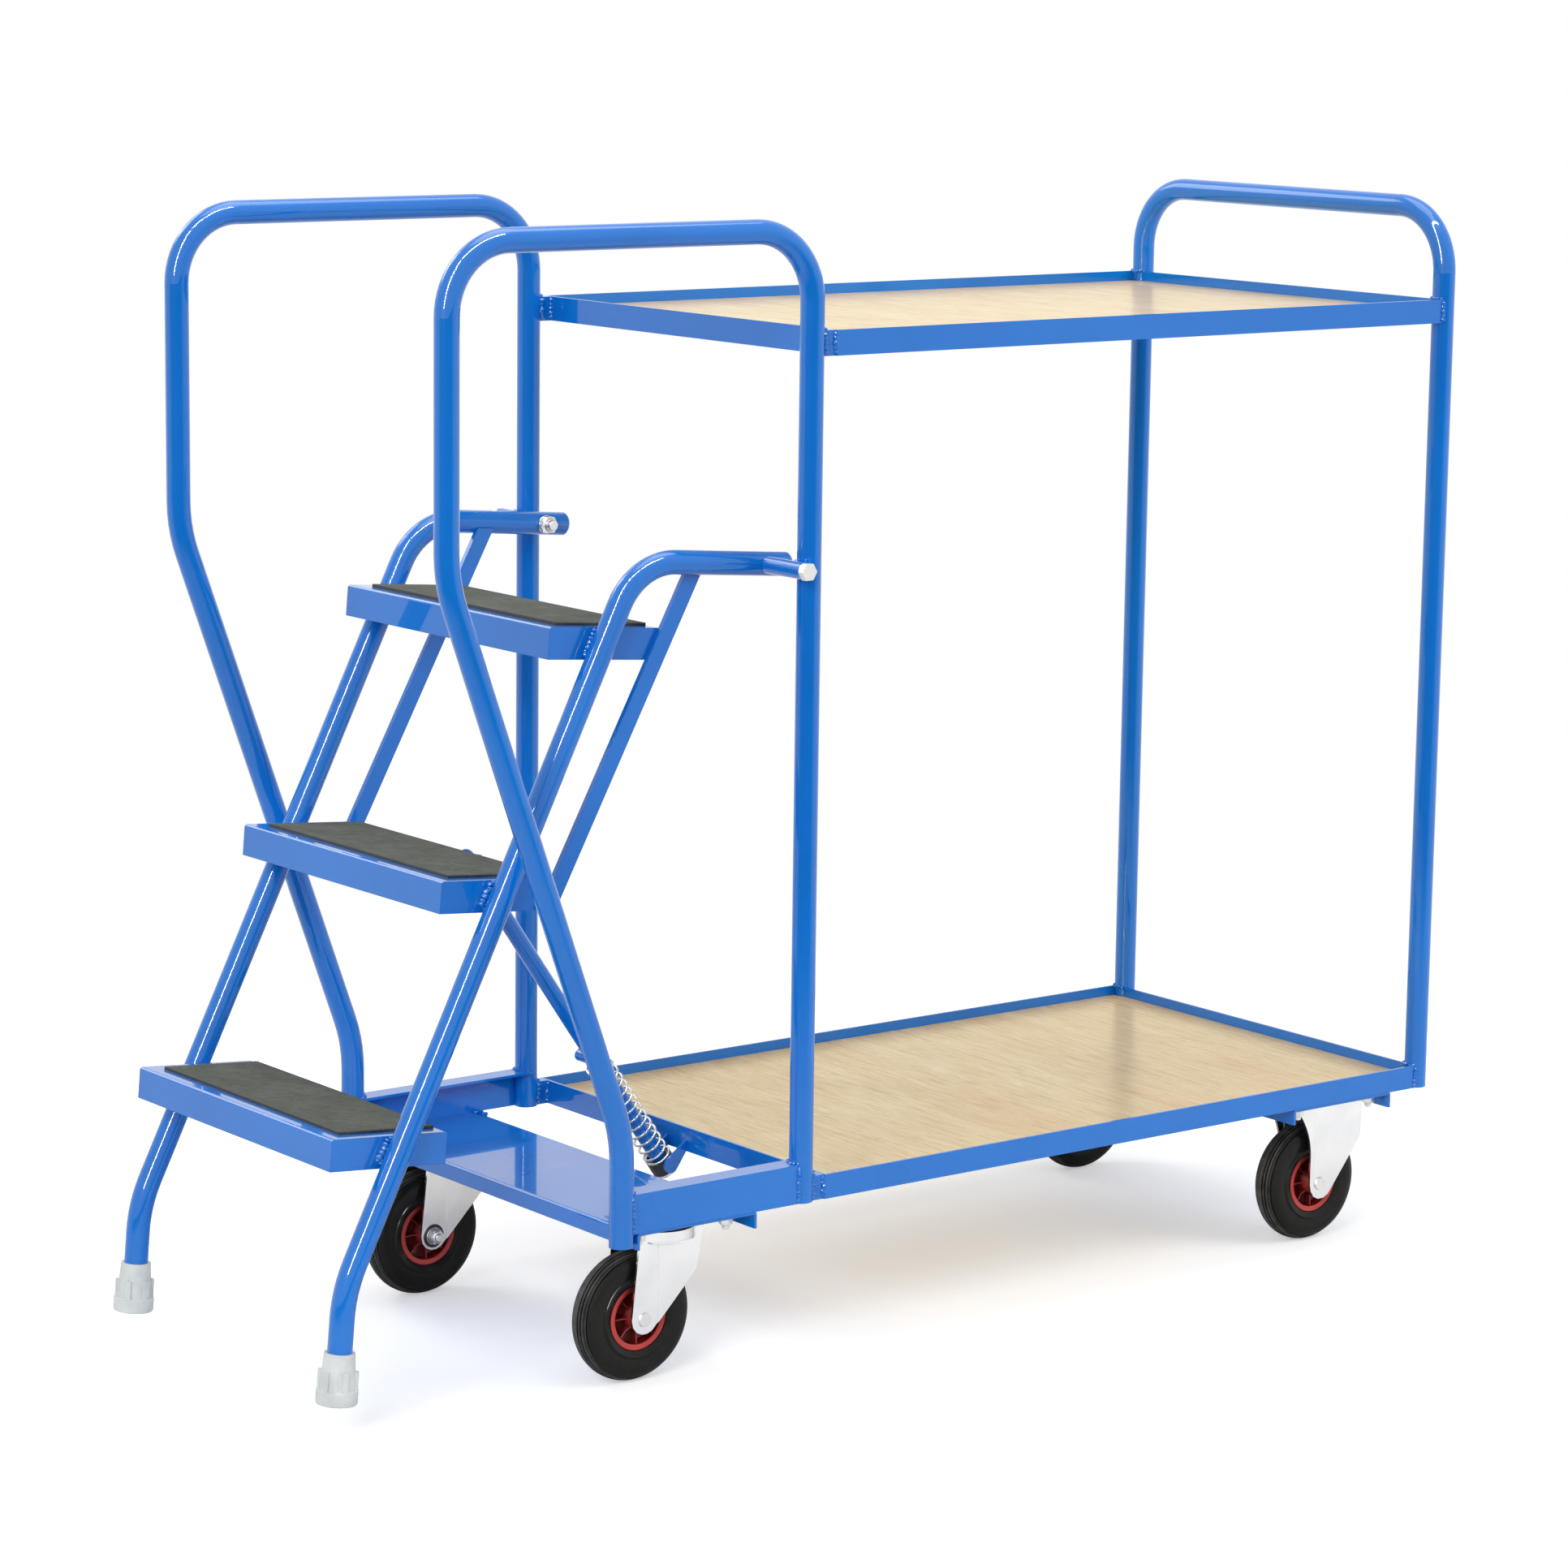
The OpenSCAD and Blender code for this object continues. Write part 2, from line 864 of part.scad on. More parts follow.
module tread_3() {
    color(blue) on_steps() tread(3);
}

module mat_1() {
    color(mat_green) on_steps() mat(1);
}

module mat_2() {
    color(mat_green) on_steps() mat(2);
}

module mat_3() {
    color(mat_green) on_steps() mat(3);
}

// Flat bars from the level run down to the back of the second tread
module rear_bars() {
    low_z = tread_z(2) - tread_h + 1;
    low_x = bar_top_x - bar_slope * (bar_top_z - low_z);
    half = bar_w / 2 * sqrt(1 + bar_slope * bar_slope);
    color(blue)
        on_steps()
            both_sides()
                difference() {
                    translate([0, stringer_in + bar_t, 0])
                        rotate([90, 0, 0])
                            linear_extrude(bar_t)
                                polygon([
                                    [bar_top_x - half, bar_top_z],
                                    [low_x - half, low_z],
                                    [low_x + half, low_z],
                                    [bar_top_x + half, bar_top_z]
                                ]);
                    translate([-slope_top_reach, stringer_y, 0])
                        rotate([0, 90, 0])
                            cylinder(r = tube_r + 0.1, h = slope_top_reach);
                }
}

// Lug behind the second tread, with the pin that the strut hangs on
module strut_lug() {
    back_x = pin_x0 - lug_out;
    color(blue)
        on_steps()
            both_sides()
                translate([0, lug_in + lug_t, 0])
                    rotate([90, 0, 0])
                        linear_extrude(lug_t)
                            difference() {
                                hull() {
                                    translate([pin_x0, pin_z0]) circle(r = lug_r);
                                    translate([back_x, pin_z0 - 10]) square([1, 22]);
                                }
                                translate([pin_x0, pin_z0]) circle(r = pin_r + fit);
                            }
}

module strut_pin() {
    reach = lug_in + lug_t + 1;
    color(zinc)
        on_steps()
            translate([pin_x0, reach, pin_z0])
                rotate([90, 0, 0]) {
                    cylinder(r = pin_r, h = 2 * reach + 1);
                    translate([0, 0, 2 * reach])
                        cylinder(r = 8.5, h = 6, $fn = 6);
                    translate([0, 0, -6])
                        cylinder(r = 8.5, h = 6, $fn = 6);
                }
}

// Strut: a tube with a domed top, a cross pin and a washer over the spring, and a stop collar
module strut_tube() {
    low = strut_len + guide_half + gap + collar_t + 2;
    color(blue)
        on_strut()
            difference() {
                union() {
                    translate([0, 0, strut_r - strut_top])
                        cylinder(r = strut_r, h = low + strut_top - strut_r);
                    translate([0, 0, strut_r - strut_top])
                        sphere(r = strut_r);
                }
                translate([0, 0, pin_r + 4])
                    cylinder(r = strut_r - strut_wall, h = low);
                rotate([90, 0, 0])
                    cylinder(r = pin_r + fit, h = strut_d + 2, center = true);
                translate([0, 0, cross_at])
                    rotate([90, 0, 0])
                        cylinder(r = cross_r, h = strut_d + 2, center = true);
            }
}

module cross_pin() {
    color(blue)
        on_strut()
            translate([0, 0, cross_at])
                translate([0, cross_far, 0])
                    rotate([90, 0, 0])
                        cylinder(r = cross_r, h = cross_far + cross_near);
}

module ring_on_strut(at, outer_r, thick, clear) {
    on_strut()
        translate([0, 0, at])
            difference() {
                cylinder(r = outer_r, h = thick);
                translate([0, 0, -1])
                    cylinder(r = strut_r + clear, h = thick + 2);
            }
}

module spring_washer() {
    color(zinc) ring_on_strut(cross_at + cross_r, spring_d / 2, seat_t, fit);
}

module stop_collar() {
    color(zinc) ring_on_strut(strut_len + guide_half + gap, collar_r, collar_t, fit);
}

// Guide block: the strut slides through it, and its trunnions turn in the cheeks
module guide_block() {
    color(black)
        on_strut()
            translate([0, 0, strut_len])
                difference() {
                    cylinder(r = guide_r, h = 2 * guide_half, center = true);
                    cylinder(r = strut_r + guide_clear, h = 30, center = true);
                    rotate([90, 0, 0])
                        cylinder(r = trunnion_r, h = 2 * guide_r, center = true);
                }
}

module guide_trunnions() {
    inner = strut_r + 1.5;
    color(blue)
        on_strut()
            both_sides()
                translate([0, cheek_in + cheek_t, strut_len])
                    rotate([90, 0, 0])
                        cylinder(r = trunnion_r, h = cheek_in + cheek_t - inner);
}

// Spring: one helix of round wire, whose ends turn along the strut and stand square on their seats
rings = 8;
wire_sides = 6;
helix_r = (spring_d - wire_d) / 2;
helix_from = spring_top + wire_d + wire_d / 2;
helix_to = spring_low - wire_d - wire_d / 2;
helix_steps = curls * rings;
pitch = (helix_to - helix_from) / curls;
helix_rise = atan(pitch / (2 * PI * helix_r));

function helix_point(i) = [
    helix_r * cos(i * 360 / rings),
    helix_r * sin(i * 360 / rings),
    helix_from + (helix_to - helix_from) * i / helix_steps
];

function helix_frame(i) = [
    [cos(i * 360 / rings), sin(i * 360 / rings), 0],
    [
        sin(helix_rise) * sin(i * 360 / rings),
        -sin(helix_rise) * cos(i * 360 / rings),
        cos(helix_rise)
    ]
];

// The first and last rings lie flat on the seats, and a slanted ring turns the wire into the helix
function end_ring(i, z, tilt) = [
    for (k = [0 : wire_sides - 1])
        let (
            a = k * 360 / wire_sides,
            across = wire_d / 2 * sin(a),
            point = helix_point(i),
            out = helix_frame(i)[0]
        )
        [
            point[0] + wire_d / 2 * cos(a) * out[0] + across * out[1],
            point[1] + wire_d / 2 * cos(a) * out[1] - across * out[0],
            z + tilt * across
        ]
];

function wire_ring(i) = [
    for (k = [0 : wire_sides - 1])
        let (
            a = k * 360 / wire_sides,
            f = helix_frame(i)
        )
        helix_point(i) + wire_d / 2 * (cos(a) * f[0] + sin(a) * f[1])
];

function spring_rings() = concat(
    [end_ring(0, spring_top, 0)],
    [end_ring(0, helix_from - wire_d / 2, 1)],
    [for (i = [1 : helix_steps - 1]) wire_ring(i)],
    [end_ring(helix_steps, helix_to + wire_d / 2, 1)],
    [end_ring(helix_steps, spring_low, 0)]
);

function flat(lists) = [for (l = lists) for (p = l) p];

function ring_faces(r, n) = [
    for (k = [0 : n - 1])
        let (
            a = r * n + k,
            b = r * n + (k + 1) % n
        )
        each [[a, a + n, b + n], [a, b + n, b]]
];

// Least distance between the wire's axis points that are more than half a curl apart, less the wire
function spring_gap() = min([
    for (i = [0 : helix_steps - rings / 2 - 1])
        for (j = [i + rings / 2 + 1 : min(i + 2 * rings, helix_steps)])
            norm(helix_point(j) - helix_point(i)) - wire_d
]);

module spring() {
    all_rings = spring_rings();
    count = len(all_rings);
    last = (count - 1) * wire_sides;
    color(zinc)
        on_strut()
            polyhedron(
                points = flat(all_rings),
                faces = concat(
                    [for (k = [1 : wire_sides - 2]) [0, k, k + 1]],
                    [for (r = [0 : count - 2]) each ring_faces(r, wire_sides)],
                    [for (k = [1 : wire_sides - 2]) [last, last + k + 1, last + k]]
                )
            );
}

echo(least_spring_gap = spring_gap());

side_hoop_near();
side_hoop_far();
end_hoop();
top_tray_rim();
bottom_tray_rim();
top_board();
bottom_board();
top_cleats();
bottom_cleats();
extension_rails();
front_channel();
rear_channel();
pivot_bosses();
pivot_bolts();
guide_cheeks();
swivel_plates();
fixed_fork_near();
fixed_fork_far();
swivel_fork_near();
swivel_fork_far();
fixed_axles();
swivel_axle_near();
swivel_axle_far();
tyre_front_near();
tyre_front_far();
tyre_rear_near();
tyre_rear_far();
wheel_front_near();
wheel_front_far();
wheel_rear_near();
wheel_rear_far();
stringer_near();
stringer_far();
ferrule_near();
ferrule_far();
tread_1();
tread_2();
tread_3();
mat_1();
mat_2();
mat_3();
rear_bars();
strut_lug();
strut_pin();
strut_tube();
cross_pin();
spring_washer();
stop_collar();
spring();
guide_block();
guide_trunnions();
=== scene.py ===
import json
import math

import bmesh
import bpy
from mathutils import Matrix, Vector, noise


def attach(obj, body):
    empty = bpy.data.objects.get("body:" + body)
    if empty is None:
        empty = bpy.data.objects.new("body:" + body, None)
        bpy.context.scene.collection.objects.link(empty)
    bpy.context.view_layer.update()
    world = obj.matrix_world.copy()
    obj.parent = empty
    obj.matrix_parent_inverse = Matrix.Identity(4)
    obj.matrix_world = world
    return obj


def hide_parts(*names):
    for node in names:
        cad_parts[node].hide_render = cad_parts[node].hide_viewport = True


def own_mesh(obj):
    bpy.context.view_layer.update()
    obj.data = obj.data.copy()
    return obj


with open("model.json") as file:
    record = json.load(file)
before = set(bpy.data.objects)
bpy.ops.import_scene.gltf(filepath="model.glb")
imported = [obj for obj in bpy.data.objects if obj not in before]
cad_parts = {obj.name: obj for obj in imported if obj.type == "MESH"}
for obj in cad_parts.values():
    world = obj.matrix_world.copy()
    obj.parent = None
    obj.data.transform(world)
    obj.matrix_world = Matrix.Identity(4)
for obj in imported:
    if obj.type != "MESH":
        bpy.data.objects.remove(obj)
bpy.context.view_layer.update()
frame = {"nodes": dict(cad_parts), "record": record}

nodes = frame["nodes"]

# ---------------------------------------------------------------- sizes of the CAD, in metres
# x on the frame counts from the step-end uprights, which stand at POST_X
POST_X = -0.17725
HALF_W = 0.254
TUBE_R = 0.0127
FRAME_L = 0.904
RIM_Y = 0.2629
RIM_H = 0.0265
RIM_END_X = 0.8974
CLEAT_HALF = 0.0065
TRAY_INSET = 0.0254
BASE_Z = 0.1763
TOP_TRAY_Z = 1.0633
RAIL_H = 0.042
LEG_X = -0.2314
CHANNEL_X = LEG_X + TUBE_R + 0.0025
CHANNEL_W = 0.153
CHANNEL_Y = (0.2380, 0.2600)
# castors
AXLE_Z = 0.070
WHEEL_Y = 0.198
SWIVEL_X = -0.1447
TRAIL = 0.0343
FIXED_X = 0.785
PLATE_T = 0.006
PLATE_BOLT_X = 0.056
PLATE_BOLT_Y = 0.044
CROWN_Z = 0.1503
RACE_Z = 0.1634
WASHER_IN = 0.0260
NUT_IN = 0.0340
TYRE_HALF = 0.0175
RIM_R = 0.0355
CENTRE_HALF = TYRE_HALF - 0.0025
# step unit, whose own axes start at the hinge
PIVOT_X = -0.0217
PIVOT_Z = 0.8463
PIVOT = Vector((PIVOT_X, 0.0, PIVOT_Z))
BOSS_R = 0.009
LIFT = math.radians(4.7)
STRINGER_IN = 0.201 - TUBE_R
STRINGER_X = -0.1583
STRINGER_SLOPE = 0.2932 / 0.7323
NOSE_X = (-0.4691, -0.3600, -0.2509)
TREAD_Z = (-0.5804, -0.3246, -0.0688)
TREAD_D = 0.137
TREAD_H = 0.033
# strut and spring
STRUT_PIN = (-0.1981, 0, -0.3410)
GUIDE = Vector((0.005, 0.0, 0.1633))
BLOCK_TOP = 0.0085
CROSS_UP = 0.1545
WASHER_DOWN = 0.007
WASHER_T = 0.002
SPRING_R = 0.0155
WIRE_R = 0.0013
CURLS = 12
FLAT_TURN = 0.85

SIDES = (("near", -1), ("far", 1))
ENDS = (("front", SWIVEL_X), ("rear", FIXED_X))
UP = Vector((0, 0, 1))
ACROSS = Vector((0, 1, 0))


def on_frame(p):
    return Vector((p[0] + POST_X, p[1], p[2]))


def on_steps(p, lift=LIFT):
    """A point of the step unit, which is drawn turned up by lift round its hinge."""
    x = p[0] * math.cos(lift) + p[2] * math.sin(lift)
    z = -p[0] * math.sin(lift) + p[2] * math.cos(lift)
    return Vector((x + PIVOT.x + POST_X, p[1], z + PIVOT.z))


# ---------------------------------------------------------------- materials
WHITE = (1.0, 1.0, 1.0)
AO_SAMPLES = 8
BEVEL_SAMPLES = 4
# places of the colour sockets on the Mix node
MIX_FACTOR, MIX_A, MIX_B, MIX_RESULT = 0, 6, 7, 2


class Tree:
    """Nodes added in code; a source is a pair of a node and its output."""

    def __init__(self, tree):
        self.tree = tree
        tree.nodes.clear()

    def add(self, kind, sockets=None, **values):
        n = self.tree.nodes.new(kind)
        for k, v in values.items():
            setattr(n, k, v)
        for k, v in (sockets or {}).items():
            n.inputs[k].default_value = v
        return n

    def join(self, source, node, into):
        self.tree.links.new(source[0].outputs[source[1]], node.inputs[into])


class Material(Tree):
    def __init__(self, name):
        self.mat = bpy.data.materials.new(name)
        self.mat.use_nodes = True
        super().__init__(self.mat.node_tree)
        self.out = self.add("ShaderNodeOutputMaterial")
        self.shader = self.add("ShaderNodeBsdfPrincipled")
        self.join((self.shader, "BSDF"), self.out, "Surface")
        self.coord = self.add("ShaderNodeTexCoord"), "Object"

    def noise(self, scale, detail, rough, stretch=None, distortion=0.0):
        n = self.add("ShaderNodeTexNoise", {
            "Scale": scale, "Detail": detail, "Roughness": rough, "Distortion": distortion})
        place = self.coord
        if stretch:
            mapping = self.add("ShaderNodeMapping", {"Scale": stretch})
            self.join(self.coord, mapping, "Vector")
            place = mapping, "Vector"
        self.join(place, n, "Vector")
        return n, "Fac"

    def ramp(self, source, stops):
        r = self.add("ShaderNodeValToRGB")
        r.color_ramp.interpolation = "EASE"
        e = r.color_ramp.elements
        while len(e) < len(stops):
            e.new(0.5)
        for el, (pos, col) in zip(e, stops):
            el.position = pos
            el.color = (*col, 1.0)
        self.join(source, r, "Fac")
        return r, "Color"

    def grey(self, source, lo, hi, a=0.3, b=0.7):
        return self.ramp(source, [(a, (lo,) * 3), (b, (hi,) * 3)])

    def painted_hollow_shade(self, distance, dark, lo, hi):
        """Painted shade: white where the surface lies open, and dark where other faces are within
        distance.
        """
        shade = self.add("ShaderNodeAmbientOcclusion", {"Distance": distance}, samples=AO_SAMPLES)
        return self.ramp((shade, "AO"), [(lo, dark), (hi, WHITE)])

    def multiply(self, factor, a, b):
        m = self.add(
            "ShaderNodeMix", {MIX_FACTOR: factor}, data_type="RGBA", blend_type="MULTIPLY")
        self.join(a, m, MIX_A)
        self.join(b, m, MIX_B)
        return m, MIX_RESULT

    def colour(self, source):
        self.join(source, self.shader, "Base Color")

    def rough(self, source):
        self.join(source, self.shader, "Roughness")

    def bumps(self, layers, bevel=0.0):
        """Stacks layers of source, strength and distance, on edges rounded by bevel."""
        last = None
        if bevel:
            last = self.add("ShaderNodeBevel", {"Radius": bevel}, samples=BEVEL_SAMPLES), "Normal"
        for source, strength, distance in layers:
            b = self.add("ShaderNodeBump", {"Strength": strength, "Distance": distance})
            self.join(source, b, "Height")
            if last:
                self.join(last, b, "Normal")
            last = b, "Normal"
        self.join(last, self.shader, "Normal")

    def set(self, **values):
        for k, v in values.items():
            self.shader.inputs[k.replace("_", " ")].default_value = v


def paint(name, bevel=0.0009, weld=False):
    """Blue enamel under a glossy coat; a weld is smoother and lumpy."""
    m = Material(name)
    cloud = m.noise(6.0, 3.0, 0.5)
    tone = m.ramp(cloud, [(0.15, (0.0006, 0.150, 0.570)), (0.85, (0.0018, 0.180, 0.650))])
    fleck = m.ramp(m.noise(1500.0, 2.0, 0.6), [(0.25, (0.95, 0.95, 0.96)), (0.70, WHITE)])
    m.colour(m.multiply(1.0, tone, fleck))
    low = 0.12 if weld else 0.24
    m.rough(m.grey(cloud, low, low + 0.08, 0.15, 0.85))
    m.set(Specular_IOR_Level=0.08, Coat_Weight=1.0, Coat_Roughness=0.03, Coat_IOR=1.5)
    layers = [(m.noise(420.0, 2.0, 0.5), 0.015, 0.0006)]
    if weld:
        layers.insert(0, (m.noise(230.0, 4.0, 0.6), 1.0, 0.0020))
    m.bumps(layers, bevel)
    return m.mat


def plywood():
    """Clear sealed plywood, with its grain along the trolley's width."""
    m = Material("plywood_clear_sealed")
    figure = m.noise(1.0, 4.0, 0.55, (13.0, 3.2, 13.0), 0.9)
    streak = m.noise(1.0, 5.0, 0.62, (260.0, 17.0, 260.0), 0.35)
    fleck = m.noise(1.0, 3.0, 0.65, (520.0, 42.0, 520.0), 0.2)
    fibre = m.noise(1.0, 3.0, 0.7, (1700.0, 70.0, 1700.0))
    pore = m.noise(1.0, 2.0, 0.6, (900.0, 55.0, 900.0), 0.2)
    c = m.ramp(figure, [
        (0.28, (0.655, 0.458, 0.170)), (0.50, (0.715, 0.538, 0.228)),
        (0.72, (0.775, 0.628, 0.320))])
    for factor, source, stops in (
        (0.85, streak, [(0.34, (0.86, 0.76, 0.62)), (0.54, WHITE), (0.72, (1.05, 1.06, 1.08))]),
        (0.85, fleck, [(0.36, (0.88, 0.78, 0.64)), (0.54, WHITE)]),
        (0.75, fibre, [(0.30, (0.90, 0.87, 0.82)), (0.60, WHITE)]),
        (0.6, pore, [(0.29, (0.70, 0.56, 0.42)), (0.36, WHITE)]),
    ):
        c = m.multiply(factor, c, m.ramp(source, stops))
    m.colour(c)
    m.rough(m.grey(streak, 0.48, 0.38))
    m.set(Coat_Weight=0.7, Coat_Roughness=0.22, Specular_IOR_Level=0.2)
    m.bumps([(fibre, 0.10, 0.0004), (pore, 0.08, 0.0004)])
    return m.mat


def zinc(name, tint=(0.92, 0.925, 0.93), lo=0.14, hi=0.24, bevel=0.0006, shade_hollows=False):
    m = Material(name)
    cloud = m.noise(26.0, 4.0, 0.55)
    dull = tuple(v * 0.95 for v in tint)
    clean = tuple(min(1.0, v * k) for v, k in zip(tint, (1.05, 1.04, 1.03)))
    tone = m.ramp(cloud, [(0.3, dull), (0.7, clean)])
    if shade_hollows:
        # painted shade between washer, nut and bolt, darker where the parts lie close
        tone = m.multiply(1.0, tone, m.painted_hollow_shade(0.004, (0.22, 0.22, 0.23), 0.45, 0.88))
    m.colour(tone)
    m.rough(m.grey(cloud, lo, hi))
    m.set(Metallic=1.0)
    m.bumps([(m.noise(900.0, 3.0, 0.6), 0.05, 0.0003)], bevel)
    return m.mat


def wire():
    m = Material("spring_wire_bright")
    drawn = m.noise(1.0, 3.0, 0.6, (700.0, 700.0, 120.0))
    m.colour(m.ramp(drawn, [(0.3, (0.50, 0.51, 0.49)), (0.7, (0.70, 0.71, 0.69))]))
    m.rough(m.grey(drawn, 0.18, 0.30))
    m.set(Metallic=1.0)
    m.bumps([(drawn, 0.08, 0.0003)])
    return m.mat


def rubber(name, dark, light, roughs, bump=0.16, spec=0.5, shine=0.0):
    m = Material(name)
    fine = m.noise(700.0, 3.0, 0.6)
    m.colour(m.ramp(m.noise(30.0, 5.0, 0.6), [(0.3, dark), (0.72, light)]))
    m.rough(m.grey(fine, *roughs))
    m.set(Specular_IOR_Level=spec, Coat_Weight=shine, Coat_Roughness=0.15)
    m.bumps([(fine, bump, 0.0004)], 0.0006)
    return m.mat


def tread_rubber():
    """The tyres' tread, coloured lighter than the sidewall, with painted shade darkening the
    grooves between the ribs.
    """
    m = Material("tyre_tread_shaded_grooves")
    fine = m.noise(900.0, 3.0, 0.6)
    tone = m.ramp(
        m.noise(45.0, 5.0, 0.6), [(0.3, (0.042, 0.042, 0.038)), (0.7, (0.105, 0.104, 0.098))])
    # painted shade in the grooves between the ribs
    m.colour(m.multiply(1.0, tone, m.painted_hollow_shade(0.005, (0.08, 0.08, 0.08), 0.50, 0.88)))
    m.rough(m.grey(fine, 0.45, 0.60))
    m.set(Specular_IOR_Level=0.2)
    m.bumps([(fine, 0.15, 0.0003)])
    return m.mat


def mat_rubber():
    m = Material("mat_ribbed_olive")
    dust = m.noise(1400.0, 3.0, 0.65)
    tone = m.ramp(
        m.noise(20.0, 5.0, 0.65), [(0.30, (0.104, 0.114, 0.092)), (0.70, (0.142, 0.152, 0.126))])
    spots = m.ramp(
        m.noise(95.0, 4.0, 0.6),
        [(0.33, (0.78, 0.79, 0.80)), (0.60, WHITE), (0.80, (1.12, 1.12, 1.10))])
    grit = m.ramp(dust, [(0.35, (0.80, 0.80, 0.80)), (0.70, (1.12, 1.12, 1.10))])
    m.colour(m.multiply(0.8, m.multiply(1.0, tone, spots), grit))
    m.rough(m.grey(dust, 0.72, 0.88))
    m.set(Specular_IOR_Level=0.3)
    m.bumps([(dust, 0.25, 0.0004)])
    return m.mat


def red_plastic():
    """Moulded wheel centre, with painted shade darkening its recess and corners."""
    m = Material("wheel_red_moulded")
    fine = m.noise(1100.0, 2.0, 0.6)
    tone = m.ramp(
        m.noise(40.0, 4.0, 0.5), [(0.3, (0.42, 0.028, 0.024)), (0.7, (0.52, 0.042, 0.036))])
    # painted shade: darker where other faces are near
    m.colour(m.multiply(1.0, tone, m.painted_hollow_shade(0.022, (0.22, 0.10, 0.10), 0.35, 0.90)))
    m.rough(m.grey(fine, 0.30, 0.42))
    m.bumps([(fine, 0.07, 0.0003)], 0.0006)
    return m.mat


def pale_rubber():
    m = Material("ferrule_pale_rubber")
    fine = m.noise(800.0, 3.0, 0.6)
    m.colour(m.ramp(
        m.noise(35.0, 4.0, 0.6), [(0.3, (0.54, 0.57, 0.565)), (0.7, (0.66, 0.685, 0.68))]))
    m.rough(m.grey(fine, 0.36, 0.50))
    m.set(Subsurface_Weight=0.1, Subsurface_Scale=0.003, Subsurface_Radius=(1.0, 1.0, 1.0))
    m.bumps([(fine, 0.08, 0.0003)], 0.0005)
    return m.mat


MATS = {
    "frame_blue": paint("frame_blue_gloss"),
    "step_blue": paint("step_blue_gloss", 0.0020),
    "tube_blue": paint("tube_blue_gloss", 0.0),
    "weld_blue": paint("weld_blue_gloss", 0.0, True),
    "plywood": plywood(),
    "zinc": zinc("zinc_plate_bright"),
    "zinc_nut": zinc("zinc_nut_bright", (0.84, 0.845, 0.84), 0.26, 0.40, 0.0005, True),
    "spring_steel": wire(),
    "tyre": rubber(
        "tyre_black_rubber", (0.0065, 0.0064, 0.0055), (0.0120, 0.0116, 0.0100), (0.42, 0.55),
        bump=0.08, spec=0.06, shine=0.3),
    "tread": tread_rubber(),
    "wheel_red": red_plastic(),
    "mat": mat_rubber(),
    "ferrule": pale_rubber(),
    "bush": rubber("bush_black_rubber", (0.014, 0.015, 0.018), (0.028, 0.029, 0.033), (0.30, 0.45)),
    # painted shade: a near-black material for dark rings set where gaps lie in shade
    "gap_shade": rubber("dark_painted_shade", (0.010, 0.010, 0.011), (0.030, 0.028, 0.026), (0.25, 0.5)),
}

finish_of = {s["node"]: s["material_slot"] for s in frame["record"]["subparts"]}
BENT_TUBES = (
    "side_hoop_near", "side_hoop_far", "end_hoop", "stringer_near", "stringer_far", "strut_tube")
DULL_BOLTS = ("pivot_bolts", "strut_pin", "fixed_axles", "swivel_axle_near", "swivel_axle_far")
finish_of.update({name: "tube_blue" for name in BENT_TUBES})
finish_of.update({name: "zinc_nut" for name in DULL_BOLTS})
for name, ob in nodes.items():
    if not ob.material_slots:
        ob.data.materials.append(MATS[finish_of[name]])
    for place in ob.material_slots:
        place.material = MATS[finish_of[name]]


# ---------------------------------------------------------------- building pieces
def piece(name, bm, mat, body, sharp, replaces=()):
    """Makes bm an object with smooth faces, sharp at edges of more than sharp degrees."""
    me = bpy.data.meshes.new(name)
    bmesh.ops.recalc_face_normals(bm, faces=bm.faces)
    bm.to_mesh(me)
    bm.free()
    for poly in me.polygons:
        poly.use_smooth = True
    me.set_sharp_from_angle(angle=math.radians(sharp))
    me.materials.append(MATS[mat])
    ob = bpy.data.objects.new(name, me)
    bpy.context.scene.collection.objects.link(ob)
    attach(ob, body)
    if replaces:
        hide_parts(*replaces)
    return ob


def mirrored(profile):
    """The whole profile of a lathed piece from its half on one side."""
    return profile + [(r, -h) for r, h in reversed(profile)]


def lathe(bm, centre, profile, steps, axis="Y"):
    """Turns a closed profile of (radius, along) points round an axis through centre."""
    rings = []
    for i in range(steps):
        a = 2 * math.pi * i / steps
        row = []
        for r, h in profile:
            c, s = r * math.cos(a), r * math.sin(a)
            p = (c, h, s) if axis == "Y" else (c, s, h)
            row.append(bm.verts.new(Vector(centre) + Vector(p)))
        rings.append(row)
    n = len(profile)
    for i in range(steps):
        a, b = rings[i], rings[(i + 1) % steps]
        for k in range(n):
            m = (k + 1) % n
            bm.faces.new((a[k], a[m], b[m], b[k]))


def ring(bm, centre, u, v, radii):
    """Vertices round centre in the plane of u and v, one for each of radii."""
    verts = []
    for i, r in enumerate(radii):
        a = 2 * math.pi * i / len(radii)
        verts.append(bm.verts.new(centre + r * (math.cos(a) * u + math.sin(a) * v)))
    return verts


def loft(bm, rings):
    """Faces from each ring of vertices to the next, and a cap at both ends."""
    n = len(rings[0])
    for a, b in zip(rings, rings[1:]):
        for i in range(n):
            m = (i + 1) % n
            bm.faces.new((a[i], a[m], b[m], b[i]))
    bm.faces.new(list(reversed(rings[0])))
    bm.faces.new(rings[-1])


def tube_along(bm, points, radius, sides):
    """A round tube along points, with its radius as a function of the point's index."""
    rings = []
    up = None
    for i, p in enumerate(points):
        t = (points[min(i + 1, len(points) - 1)] - points[max(i - 1, 0)]).normalized()
        if up is None:
            up = t.orthogonal().normalized()
        up = (up - t * up.dot(t)).normalized()
        rings.append(ring(bm, p, up, t.cross(up), [radius(i)] * sides))
    loft(bm, rings)


def standing(direction):
    """Direction as a unit vector, and two more across it."""
    d = Vector(direction).normalized()
    u = d.orthogonal().normalized()
    return d, u, d.cross(u)


